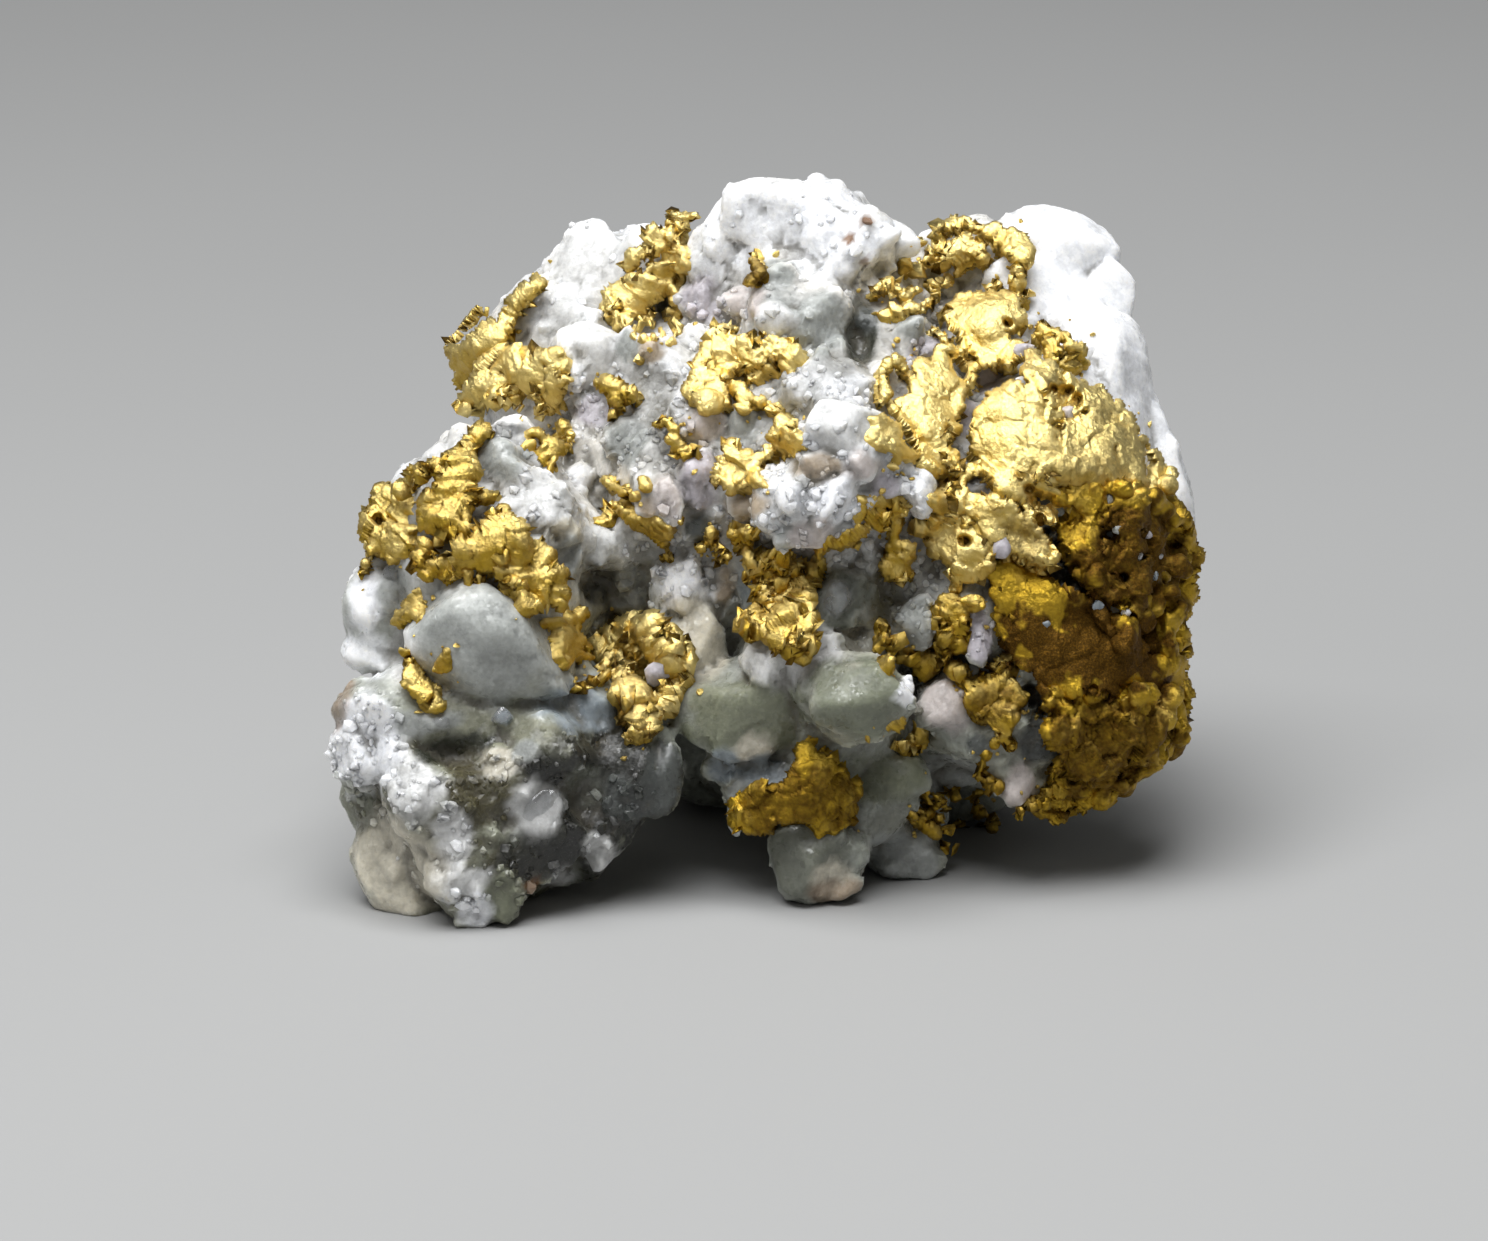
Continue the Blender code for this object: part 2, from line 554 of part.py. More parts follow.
def finish(name, colour, roughness, metallic):
    material = bpy.data.materials.new(name)
    material.use_nodes = True
    shader = material.node_tree.nodes["Principled BSDF"]
    shader.inputs["Base Color"].default_value = colour
    shader.inputs["Roughness"].default_value = roughness
    shader.inputs["Metallic"].default_value = metallic
    material.diffuse_color = colour
    return material


def floor_slab():
    """The block under the floor that takes the toes off flat."""
    mesh = bmesh.new()
    bmesh.ops.create_cube(mesh, size=1)
    width, thick = FLOOR_SLAB
    mesh.transform(Matrix.Translation((0, 0, -thick / 2)) @ Matrix.Diagonal((width, width, thick, 1)))
    return mesh


def main():
    for old in list(bpy.data.objects):
        bpy.data.objects.remove(old)
    quartz_finish = finish("milky_quartz", *QUARTZ_FINISH)
    gold_finish = finish("native_gold", *GOLD_FINISH)
    crystals = quartz_crystals()
    beads = gold_beads(search_tree(crystals))
    node("quartz", [c.bmesh() for c in crystals], [floor_slab()] + pits(crystals), quartz_finish)
    placed = []
    for name, row in beads.items():
        around = [c for c in crystals + placed if any(c.near(b) for b in row)]
        node(name, [b.bmesh() for b in row], [c.bmesh(GAP) for c in around], gold_finish)
        placed += row


main()
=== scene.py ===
"""The looks of a lump of gold in quartz: milky quartz grains grown together, with native gold over them.

Shapes are worked out in millimetres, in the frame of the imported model: +X right, +Y back, +Z up, and each
finished mesh is stored in metres. Places on the show face are given as they are seen from the front: in
sixtieths of a millimetre across and down, from the top left corner of a view 1488 wide and 1241 high.
"""

import math

import bpy
import numpy as np
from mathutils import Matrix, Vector
from mathutils.bvhtree import BVHTree


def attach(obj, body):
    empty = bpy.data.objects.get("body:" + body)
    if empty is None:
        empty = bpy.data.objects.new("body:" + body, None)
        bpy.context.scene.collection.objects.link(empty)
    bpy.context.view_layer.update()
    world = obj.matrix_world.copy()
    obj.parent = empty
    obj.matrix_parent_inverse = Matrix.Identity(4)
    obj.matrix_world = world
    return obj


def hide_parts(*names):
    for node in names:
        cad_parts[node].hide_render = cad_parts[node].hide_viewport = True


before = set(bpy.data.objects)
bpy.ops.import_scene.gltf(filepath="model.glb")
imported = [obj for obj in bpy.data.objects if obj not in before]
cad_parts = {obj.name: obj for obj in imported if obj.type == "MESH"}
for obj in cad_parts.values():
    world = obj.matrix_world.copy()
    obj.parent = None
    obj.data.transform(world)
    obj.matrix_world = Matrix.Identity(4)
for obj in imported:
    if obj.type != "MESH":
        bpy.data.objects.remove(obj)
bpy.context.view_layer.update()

MM = 0.001

# The view that the front places are given in, and that the camera takes.
VIEW_WIDTH, VIEW_HEIGHT = 1488, 1241
PER_MM = 60.0  # units of the view in a millimetre, at the depth of the show face
LEAN = math.radians(15)  # the camera looks down by this much
AIM = np.array((-0.397, -2.995, 4.562))
DISTANCE = 137.8
LENS, SENSOR = 200.0, 36.0
RIGHT = np.array((1.0, 0.0, 0.0))
UP = np.array((0.0, math.sin(LEAN), math.cos(LEAN)))
AWAY = np.array((0.0, math.cos(LEAN), -math.sin(LEAN)))
EYE = AIM - AWAY * DISTANCE

SEED = 7
BASE_VOXEL = 0.13  # first, coarse mesh of the lump, that is smoothed
QUARTZ_VOXEL = 0.066
GOLD_VOXEL = 0.042
SWELL, SWELL_HEIGHT = 1.4, 0.07  # size and height of the largest swells of the lump, in millimetres
LUMP_TRIANGLES = 196000  # the most that the lump's skin has
NET = 1.4  # step of the net that the seen gold is made on, in units of the view
NET_MARGIN = 24  # how far the net reaches past the middles of the outer lumps
CELL = 4.0  # cells of the depth maps, in units of the view
GOLD_REACH = 1.3  # the outline of gold lies this many half widths from the middle of a lump
GOLD_SHEET = 0.16  # thickness of the seen gold, in millimetres
MOST_LIFT = 0.75  # the most that the seen gold is lifted to follow its solid, in millimetres
GROOVE_DEPTH, CRACK_DEPTH = 0.3, 0.35  # depth of the grooves in the gold and in the quartz below them
MAP_AREA = 0.0015  # square millimetres of a solid to each place that its depth map is made from
SEAT_AREA = 0.035  # square millimetres of a solid to each lump tried on its far side
EDGE = 2.0  # how far the net is kept past the ragged edge, in units of the view
STEEPEST = 4  # a square of the net is left off where it drops back by more than this many times its side
WRAP = (1090, 480)  # right of and below this place of the view, gold goes on round the edge of the lump

# A colour reaches points up to about this far behind or before its own place, in millimetres, then fades.
SAME_FACE = (1.4, 0.9)

# What makes up for the cuts that shape a grain: factors on how far out it stands, its width and its depth.
OUTWARD, WIDER, DEEPER = 1.4, 1.2, 1.08

# Relief in cells that slope their own way: size of the cells and height in millimetres, and salt.
FRACTURES = ((0.6, 0.085, 5), (0.28, 0.055, 23))  # broken faces of the quartz
CRUMPLES = ((0.5, 0.26, 73), (0.22, 0.08, 75), (0.11, 0.015, 77))  # beaten gold

# Small crystals grown into the skin: how many are tried, least and greatest size in millimetres, and salt.
GROWN = ((1500, 0.14, 0.30, 11), (3600, 0.07, 0.14, 17))
LOOSE = (26000, 0.04, 0.125)  # crystals that lie on the skin: how many are tried and their sizes
FLECKS = (420, 0.02, 0.055)  # flecks of gold: how many and their sizes

# Lights: name, place and size in millimetres, power in watts and colour.
LIGHTS = (
    ("overhead", (-18, -34, 148), 125, 0.42, (0.975, 0.985, 1.0)),
    ("front left", (-120, -140, 90), 90, 0.025, (1.0, 1.0, 1.0)),
)
ROOM = (0.56, 0.56, 0.56, 1)
ROOM_STRENGTH = 0.2

# Colours of the gold, deep and pale, which are mixed partly by painted light; of the rust on the gold; of
# dirt with painted shade in the hollows of the gold and the quartz; of grit on the quartz; and of the floor.
DEEP_GOLD, PALE_GOLD = (0.50, 0.32, 0.03), (1.0, 0.80, 0.32)
DARK_RUST, LIGHT_RUST = (0.045, 0.016, 0.002), (0.19, 0.085, 0.008)
GOLD_DIRT_AND_SHADE, QUARTZ_DIRT_AND_SHADE, QUARTZ_GRIT = (0.14, 0.075, 0.01), (0.12, 0.11, 0.085), (0.26, 0.25, 0.22)
FLOOR_TONES = (0.33, 0.33, 0.326), (0.36, 0.36, 0.355)

# Colour of bare quartz; what its warm parts keep of it; what low parts lose to painted shade and dirt; what
# the left foot loses to its own darker colour and painted shade.
BARE = np.array((0.60, 0.605, 0.61))
WARM = np.array((1.0, 0.93, 0.80))
LOW_SHADE_AND_DIRT_LOSS = np.array((0.52, 0.505, 0.57))
FOOT_TONE_AND_SHADE_LOSS = np.array((0.30, 0.30, 0.37))

# Colours of the quartz grains.
TINTS = {
    "white": (0.80, 0.81, 0.83),
    "milk": (0.54, 0.54, 0.53),
    "cream": (0.48, 0.45, 0.37),
    "tan": (0.34, 0.28, 0.21),
    "grey": (0.30, 0.31, 0.295),
    "slate": (0.12, 0.125, 0.10),
    "blue": (0.22, 0.25, 0.27),
    "lavender": (0.40, 0.375, 0.40),
    "pink": (0.44, 0.40, 0.38),
    "green": (0.165, 0.173, 0.12),
    "moss": (0.155, 0.165, 0.12),
    "dark": (0.06, 0.065, 0.06),
}

# Grains that can be told apart: across, down, half width, half height, roll, stands proud by, colour and
# whether it is smooth or sharp. All but the last two are in units of the view and degrees.
GRAINS = (
    # left edge and left foot
    (366, 598, 20, 30, 8, 8, "white", "smooth"),
    (368, 655, 23, 21, 0, 8, "white", "smooth"),
    (392, 590, 15, 24, 10, 6, "grey", "smooth"),
    (409, 650, 21, 32, 0, 5, "milk", "smooth"),
    (488, 645, 73, 60, 20, 14, "grey", "smooth"),
    (365, 745, 38, 42, 0, 7, "white", "sharp"),
    (432, 722, 36, 14, -12, 2, "grey", "smooth"),
    (415, 790, 26, 30, 0, 2, "milk", "sharp"),
    (504, 718, 9, 7, 0, 7, "blue", "smooth"),
    (500, 762, 17, 16, 0, 2, "cream", "sharp"),
    (525, 750, 12, 12, 0, 2, "grey", "smooth"),
    (534, 808, 29, 28, 0, 4, "milk", "smooth"),
    (452, 836, 20, 26, 0, 2, "milk", "sharp"),
    (476, 884, 16, 15, 0, 3, "milk", "smooth"),
    (503, 900, 17, 24, 0, 3, "green", "smooth"),
    (475, 915, 17, 17, 0, 3, "white", "sharp"),
    (447, 880, 18, 24, 0, 3, "milk", "sharp"),
    (395, 866, 46, 56, -30, 4, "cream", "smooth"),
    (600, 852, 16, 18, 0, 3, "milk", "smooth"),
    (560, 874, 20, 12, 0, 3, "milk", "sharp"),
    (581, 706, 37, 26, 0, 10, "blue", "smooth"),
    (560, 664, 17, 24, 0, 4, "grey", "smooth"),
    # the next three grains lie in the dark patch low on the left: painted dark for dark mineral and as
    # painted shade
    (618, 800, 24, 20, 0, 2, "dark", "sharp"),
    (585, 790, 20, 22, 0, 2, "slate", "sharp"),
    (660, 780, 20, 36, 10, 4, "dark", "smooth"),
    # upper left
    (512, 486, 37, 36, 0, 10, "milk", "sharp"),
    (501, 458, 25, 22, 20, 8, "grey", "smooth"),
    (578, 478, 15, 13, 0, 7, "white", "sharp"),
    (568, 533, 17, 15, 0, 8, "cream", "smooth"),
    (566, 562, 14, 27, 12, 6, "grey", "smooth"),
    (594, 410, 19, 16, 0, 8, "lavender", "sharp"),
    (626, 440, 21, 22, 0, 8, "grey", "sharp"),
    (600, 352, 30, 24, 0, 6, "milk", "smooth"),
    (650, 350, 12, 14, 0, 5, "tan", "smooth"),
    (627, 345, 11, 20, 0, 5, "grey", "smooth"),
    (700, 300, 22, 24, 0, 7, "lavender", "sharp"),
    (698, 345, 18, 22, 0, 6, "milk", "sharp"),
    (436, 458, 16, 13, -30, 4, "milk", "smooth"),
    (540, 318, 40, 30, -40, 4, "milk", "smooth"),
    (590, 262, 40, 34, -20, 5, "milk", "smooth"),
    (648, 246, 26, 22, 0, 4, "milk", "smooth"),
    # centre
    (648, 507, 13, 11, 0, 7, "tan", "smooth"),
    (668, 500, 16, 26, -15, 9, "pink", "sharp"),
    (697, 528, 15, 16, 0, 6, "dark", "smooth"),
    (699, 480, 20, 28, 15, 8, "lavender", "sharp"),
    (705, 424, 22, 20, 0, 8, "pink", "smooth"),
    (745, 425, 18, 20, 0, 6, "grey", "smooth"),
    (799, 392, 17, 15, 0, 7, "milk", "sharp"),
    (845, 428, 34, 28, 0, 10, "milk", "smooth"),
    (748, 507, 22, 14, 0, 7, "tan", "smooth"),
    (790, 495, 13, 15, 20, 9, "white", "sharp"),
    (820, 467, 22, 15, 0, 7, "tan", "smooth"),
    (862, 464, 18, 18, 0, 8, "pink", "smooth"),
    (830, 506, 18, 30, 35, 11, "white", "sharp"),
    (858, 500, 14, 22, 30, 9, "white", "sharp"),
    (786, 539, 13, 13, 0, 7, "grey", "smooth"),
    (815, 535, 24, 16, 0, 6, "pink", "smooth"),
    (843, 598, 31, 30, 5, 10, "slate", "sharp"),
    (836, 598, 14, 17, 5, 11, "grey", "smooth"),
    (750, 588, 13, 20, 0, 7, "blue", "smooth"),
    (724, 588, 10, 18, 0, 5, "tan", "smooth"),
    (684, 588, 29, 33, 12, 14, "white", "sharp"),
    (698, 640, 27, 43, -8, 12, "cream", "smooth"),
    (661, 625, 10, 12, 0, 10, "cream", "smooth"),
    (632, 590, 20, 22, 0, 5, "grey", "sharp"),
    # crown
    (786, 215, 78, 32, 0, 5, "white", "sharp"),
    (735, 240, 32, 34, 20, 5, "white", "sharp"),
    (835, 250, 40, 34, -10, 5, "white", "sharp"),
    (780, 275, 17, 14, 0, 8, "grey", "smooth"),
    (748, 303, 27, 17, 15, 8, "pink", "smooth"),
    (802, 325, 49, 36, -8, 10, "grey", "sharp"),
    (775, 320, 20, 16, 0, 11, "milk", "smooth"),
    (866, 322, 14, 16, 0, 3, "dark", "sharp"),
    (895, 240, 24, 20, 0, 5, "white", "smooth"),
    # between the right gold
    (1002, 280, 13, 25, 0, 7, "milk", "sharp"),
    (913, 327, 14, 16, 0, 8, "grey", "smooth"),
    (925, 352, 25, 14, -20, 8, "lavender", "sharp"),
    (985, 381, 17, 14, 0, 8, "lavender", "sharp"),
    (964, 416, 13, 21, 15, 7, "lavender", "smooth"),
    (1021, 350, 11, 9, 0, 6, "lavender", "smooth"),
    (1072, 420, 16, 12, 0, 5, "pink", "smooth"),
    (886, 487, 16, 14, 0, 7, "lavender", "smooth"),
    (920, 491, 18, 24, -15, 8, "white", "sharp"),
    (1005, 549, 8, 12, 0, 8, "milk", "smooth"),
    (969, 543, 11, 10, 0, 4, "dark", "smooth"),
    (1056, 575, 20, 11, -10, 3, "dark", "smooth"),
    (1110, 609, 13, 6, -8, 6, "grey", "sharp"),
    # right of the centre and the middle foot
    (918, 622, 23, 26, 0, 10, "grey", "sharp"),
    (979, 638, 13, 29, -6, 9, "lavender", "sharp"),
    (972, 672, 8, 9, 0, 8, "grey", "smooth"),
    (948, 704, 29, 26, -25, 11, "pink", "smooth"),
    (776, 662, 34, 30, 0, 8, "milk", "sharp"),
    (826, 648, 16, 16, 0, 6, "milk", "sharp"),
    (745, 718, 60, 38, 8, 14, "green", "smooth"),
    (757, 752, 16, 16, 45, 12, "cream", "smooth"),
    (857, 698, 54, 38, -8, 15, "moss", "smooth"),
    (907, 690, 7, 20, 10, 9, "white", "sharp"),
    (722, 768, 17, 15, 0, 6, "blue", "sharp"),
    (768, 772, 22, 16, 0, 4, "blue", "sharp"),
    (888, 777, 43, 25, 0, 9, "green", "smooth"),
    (950, 772, 27, 17, 0, 7, "grey", "smooth"),
    (980, 745, 13, 11, 0, 5, "dark", "smooth"),
    (1018, 786, 17, 23, 15, 8, "pink", "smooth"),
    (1038, 746, 22, 18, 0, 3, "dark", "sharp"),
    (806, 856, 46, 40, 0, 8, "slate", "smooth"),
    (838, 882, 24, 20, 0, 5, "cream", "smooth"),
    (735, 808, 9, 26, 0, 4, "grey", "smooth"),
    (905, 858, 34, 28, 0, 3, "grey", "smooth"),
    # right back
    (1060, 262, 70, 52, 10, 5, "white", "smooth"),
    (1098, 300, 40, 46, 20, 6, "white", "smooth"),
    (1100, 370, 52, 74, -12, 5, "white", "smooth"),
    (1155, 470, 34, 80, -12, 4, "white", "smooth"),
    (1183, 585, 24, 70, 0, 3, "cream", "smooth"),
)

# Gold of the show face, as it is seen: rows of across, down and half width.
GOLD = {
    "gold_cluster": (
        (385, 500, 13), (398, 505, 12), (373, 512, 10), (374, 530, 12), (390, 530, 12), (403, 532, 9),
        (386, 546, 11), (402, 548, 9), (412, 548, 6), (372, 548, 7), (393, 556, 6), (366, 564, 4),
        (366, 572, 3),
    ),
    "gold_west": (
        (466, 449, 7), (452, 457, 6), (466, 463, 9), (440, 471, 5), (458, 478, 13), (470, 474, 7),
        (450, 492, 16), (438, 506, 15), (452, 510, 15), (464, 498, 10), (434, 520, 9), (462, 520, 8),
        (420, 473, 7), (430, 467, 5), (410, 482, 4), (403, 490, 4), (483, 498, 4), (492, 498, 4),
        (424, 545, 6), (438, 542, 4), (420, 556, 6), (428, 567, 9), (444, 567, 9), (458, 563, 9),
        (468, 552, 12), (480, 545, 11), (484, 560, 9), (494, 538, 11), (506, 539, 12), (505, 522, 8),
        (504, 510, 6), (519, 527, 6), (520, 548, 13), (534, 551, 10), (544, 556, 7), (468, 577, 4),
        (479, 579, 3), (508, 571, 8), (512, 585, 8), (526, 566, 12), (535, 576, 13), (530, 598, 13),
        (545, 590, 12), (553, 575, 9), (558, 590, 8), (527, 608, 8), (561, 575, 5), (558, 604, 5),
    ),
    "gold_tip": ((475, 435, 8), (483, 431, 6), (468, 441, 5), (481, 423, 4)),
    "gold_chip": (
        (416, 592, 3), (413, 602, 6), (410, 610, 8), (403, 616, 6), (397, 622, 4),
    ),
    "gold_nodule": (
        (406, 652, 4), (409, 662, 4), (411, 678, 9), (421, 690, 9), (431, 700, 10), (437, 706, 7),
        (447, 652, 4), (444, 663, 7), (439, 668, 5), (448, 668, 4),
    ),
    "gold_sheet": (
        (552, 621, 4), (563, 624, 7), (573, 621, 8), (584, 614, 6), (566, 638, 9), (568, 654, 9),
        (580, 648, 9), (589, 655, 6), (567, 664, 4), (577, 634, 6),
    ),
    "gold_shoulder": (
        (459, 348, 14), (474, 336, 16), (486, 346, 14), (470, 357, 14), (481, 318, 10), (497, 336, 9),
        (506, 320, 8), (515, 304, 8), (526, 292, 9), (537, 282, 8), (462, 376, 8),
    ),
    "gold_ledge": (
        (500, 356, 8), (513, 361, 9), (526, 361, 9), (541, 362, 9), (556, 359, 9), (565, 364, 7),
        (494, 370, 10), (485, 384, 10), (475, 396, 7), (474, 406, 4), (501, 382, 11), (516, 376, 11),
        (530, 380, 10), (542, 376, 9), (554, 371, 8), (566, 378, 5), (560, 382, 6), (503, 395, 7),
        (503, 406, 5), (553, 394, 9), (548, 405, 9), (541, 411, 6), (525, 413, 7), (519, 406, 5),
        (533, 416, 4), (572, 380, 4),
    ),
    "gold_beads": (
        (531, 431, 5), (541, 434, 5), (551, 442, 8), (547, 450, 7), (556, 452, 7), (533, 443, 4),
        (565, 430, 6), (571, 435, 5), (567, 446, 6), (555, 462, 3),
    ),
    "gold_flake": (
        (605, 383, 6), (613, 388, 7), (620, 391, 6), (632, 394, 6), (617, 399, 5), (625, 388, 4),
        (613, 413, 3), (636, 400, 4),
    ),
    "gold_spur": (
        (683, 217, 4), (677, 225, 7), (664, 234, 8), (649, 246, 7), (636, 257, 7), (629, 266, 5),
        (669, 247, 9), (680, 255, 9), (682, 263, 8), (668, 264, 8), (656, 272, 10), (649, 284, 11),
        (664, 282, 9), (634, 293, 13), (619, 297, 11), (624, 310, 11), (637, 304, 10), (652, 293, 9),
        (664, 291, 6), (674, 293, 4), (674, 301, 4), (612, 300, 7), (634, 332, 4), (641, 326, 5),
        (650, 323, 4), (659, 325, 5), (662, 332, 4), (654, 338, 3), (643, 339, 4), (672, 341, 4),
        (674, 324, 4), (638, 360, 4), (640, 316, 6), (668, 310, 4),
    ),
    "gold_fleck": ((755, 251, 3), (754, 262, 6), (760, 272, 6), (754, 280, 5)),
    "gold_arc": (
        (727, 327, 3), (722, 337, 6), (703, 360, 8), (700, 366, 7), (711, 351, 8), (723, 347, 10),
        (728, 363, 11), (740, 347, 11), (750, 358, 11), (753, 371, 9), (764, 356, 9), (767, 367, 6),
        (780, 348, 8), (795, 357, 7), (787, 364, 6), (764, 333, 3), (774, 342, 6), (717, 372, 5),
        (700, 382, 9), (712, 380, 8), (695, 392, 9), (706, 396, 10), (718, 392, 8), (713, 405, 9),
        (722, 401, 7), (706, 411, 6), (727, 398, 3),
    ),
    "gold_chain": (
        (740, 389, 7), (744, 397, 7), (751, 398, 5), (760, 402, 5), (771, 409, 5), (777, 411, 4),
        (744, 411, 5), (747, 421, 3),
    ),
    "gold_grain": ((784, 424, 9), (778, 434, 9), (784, 444, 9), (795, 439, 7), (788, 433, 8)),
    "gold_thread": (
        (656, 425, 4), (667, 421, 7), (674, 429, 6), (674, 439, 6), (680, 446, 6), (686, 451, 6),
        (696, 451, 4),
    ),
    "gold_shelf": (
        (733, 447, 4), (728, 460, 8), (740, 464, 10), (752, 462, 9), (766, 453, 6), (722, 472, 9),
        (736, 476, 9), (750, 474, 8), (716, 482, 5), (730, 486, 6), (745, 484, 6), (759, 482, 5),
    ),
    "gold_leaf": (
        (605, 481, 4), (612, 487, 5), (622, 492, 5), (634, 497, 5), (642, 479, 4), (645, 488, 5),
        (608, 517, 6), (616, 506, 5), (626, 514, 6), (637, 522, 7), (648, 529, 8), (658, 525, 6),
        (668, 530, 6), (679, 521, 4), (664, 544, 5), (657, 538, 5), (666, 557, 4),
    ),
    "gold_strip": (
        (731, 535, 6), (742, 535, 7), (753, 535, 6), (734, 543, 5), (748, 544, 5), (719, 549, 5),
        (726, 557, 6), (740, 551, 5), (716, 561, 4), (712, 533, 4), (701, 548, 4), (712, 541, 4),
    ),
    "gold_curtain": (
        (755, 563, 5), (764, 557, 6), (779, 557, 5), (768, 570, 8), (778, 575, 6), (784, 587, 9),
        (772, 598, 9), (792, 596, 10), (785, 608, 9), (771, 608, 7), (799, 589, 6), (746, 624, 6),
        (755, 620, 5), (761, 628, 6), (772, 633, 7), (783, 637, 8), (794, 646, 7), (805, 637, 8),
        (809, 646, 5), (803, 654, 5), (777, 621, 8), (794, 624, 10), (805, 623, 8), (799, 572, 7),
        (809, 579, 7), (816, 568, 6), (790, 577, 6), (810, 617, 6),
    ),
    "gold_frame": (
        (597, 648, 5), (608, 637, 5), (620, 629, 6), (631, 623, 5), (599, 657, 5), (605, 668, 6),
        (603, 677, 5), (592, 682, 4), (582, 688, 3), (622, 648, 9), (613, 655, 6),
    ),
    "gold_hook": (
        (645, 629, 5), (657, 630, 5), (668, 635, 5), (673, 644, 5), (677, 656, 5), (681, 670, 5),
        (684, 683, 4), (675, 694, 5), (664, 704, 6), (653, 708, 6), (639, 700, 7), (626, 694, 6),
        (619, 679, 6), (640, 645, 8), (656, 646, 8), (616, 696, 4), (636, 686, 5), (647, 691, 6),
        (668, 687, 5), (629, 717, 5), (640, 722, 7), (650, 728, 6), (646, 735, 6), (636, 738, 6),
        (627, 740, 4), (651, 720, 5), (645, 711, 5),
    ),
    "gold_apron": (
        (742, 797, 6), (750, 792, 6), (744, 808, 6), (755, 804, 8), (762, 816, 7), (772, 818, 6),
        (775, 806, 8), (788, 800, 10), (790, 784, 7), (798, 768, 7), (808, 749, 4), (804, 782, 9),
        (806, 800, 12), (815, 764, 7), (820, 786, 12), (824, 804, 12), (822, 822, 9), (836, 776, 9),
        (840, 794, 12), (838, 812, 10), (847, 784, 8), (835, 826, 4), (818, 831, 4), (849, 802, 6),
    ),
    "gold_glint": (
        (905, 723, 4), (900, 732, 8), (891, 742, 7), (905, 744, 8), (916, 740, 7), (878, 742, 3),
        (868, 741, 3),
    ),
    "gold_cap": (
        (930, 240, 7), (941, 231, 6), (953, 224, 7), (966, 224, 6), (980, 227, 6), (993, 231, 8),
        (1000, 240, 8), (1010, 237, 8), (1020, 243, 9), (1028, 250, 6), (1025, 259, 6), (1006, 249, 6),
        (1018, 253, 6), (922, 242, 5), (930, 248, 5), (940, 248, 6), (950, 249, 6), (908, 264, 4),
        (911, 271, 4), (922, 263, 6), (935, 260, 6), (947, 258, 7), (958, 248, 9), (966, 242, 7),
        (968, 254, 11), (978, 258, 8), (962, 266, 6), (958, 273, 4), (982, 249, 5), (1018, 272, 5),
        (1020, 284, 7), (1018, 295, 6), (1026, 299, 5), (1020, 264, 4),
    ),
    "gold_branch": (
        (874, 293, 4), (881, 287, 4), (890, 284, 5), (896, 280, 3), (884, 314, 6), (892, 310, 6),
        (901, 312, 5), (912, 308, 5), (922, 310, 4), (905, 296, 4), (913, 292, 4), (922, 289, 4),
        (935, 284, 5), (945, 283, 5), (938, 296, 4), (898, 290, 3), (928, 302, 4), (908, 302, 3),
    ),
    "gold_crust": (
        (1042, 328, 6), (1047, 335, 6), (1040, 340, 4), (1058, 335, 6), (1068, 336, 5), (1051, 346, 6),
        (1050, 356, 6), (1061, 350, 4), (1069, 345, 5), (1077, 352, 7), (1083, 362, 6), (1076, 368, 6),
        (1065, 365, 6), (1056, 364, 5),
    ),
    "gold_crest": (
        # the arm, from the top to the right
        (936, 331, 5), (950, 318, 8), (948, 335, 9), (962, 302, 9), (960, 320, 12), (975, 304, 11),
        (976, 325, 13), (968, 342, 10), (985, 316, 10), (990, 338, 12), (985, 352, 9), (1002, 345, 11),
        (992, 304, 8), (1009, 311, 6), (1019, 323, 6), (1016, 350, 10), (1010, 358, 7), (1030, 362, 9),
        (1043, 372, 9), (1036, 377, 7), (1056, 378, 9), (1068, 388, 10), (1080, 391, 10), (1080, 402, 7),
        (1093, 398, 10), (1102, 408, 11), (1114, 415, 10), (1125, 423, 9), (1132, 433, 7), (990, 288, 5),
        (998, 285, 4), (1004, 296, 5), (952, 366, 5),
        # the patch to its left
        (882, 372, 5), (889, 364, 5), (899, 362, 5), (905, 370, 5), (884, 384, 5), (886, 395, 6),
        (930, 372, 10), (944, 362, 10), (958, 363, 9), (948, 375, 10), (963, 378, 8), (934, 386, 10),
        (918, 386, 8), (928, 400, 12), (946, 400, 12), (960, 393, 8), (912, 412, 12), (930, 416, 12),
        (946, 412, 10), (896, 418, 10), (884, 430, 10), (900, 430, 11), (916, 430, 11), (934, 430, 10),
        (881, 441, 7), (893, 446, 8), (908, 444, 8), (925, 445, 9), (939, 446, 8), (900, 456, 6),
        (930, 460, 7), (942, 467, 7), (952, 456, 7), (955, 470, 6), (963, 478, 5), (896, 467, 4),
        # the bright dome and what hangs under it
        (1000, 396, 10), (1014, 392, 10), (1026, 399, 10), (990, 408, 10), (1006, 408, 13),
        (1022, 412, 13), (1036, 412, 10), (1046, 423, 9), (982, 424, 9), (998, 424, 13), (1016, 428, 14),
        (1034, 430, 13), (1048, 435, 10), (985, 440, 10), (1002, 444, 14), (1022, 448, 14),
        (1040, 448, 12), (1054, 447, 8), (990, 460, 9), (1010, 464, 12), (1030, 466, 11), (1048, 462, 10),
        (985, 470, 7), (999, 476, 9), (1004, 488, 9), (1014, 496, 6), (973, 470, 5), (1049, 404, 5),
        # the pale dome
        (1066, 431, 7), (1078, 428, 8), (1090, 424, 9), (1103, 427, 12), (1118, 433, 12), (1130, 441, 10),
        (1140, 451, 9), (1076, 442, 12), (1094, 442, 14), (1110, 448, 14), (1126, 456, 14),
        (1140, 466, 12), (1062, 452, 10), (1078, 460, 13), (1096, 462, 14), (1112, 470, 14),
        (1130, 476, 14), (1146, 482, 12), (1157, 492, 9), (1062, 466, 8), (1080, 474, 9), (1100, 480, 10),
        # the plates below
        (951, 488, 5), (962, 486, 5), (945, 500, 7), (940, 510, 6), (955, 503, 9), (968, 500, 8),
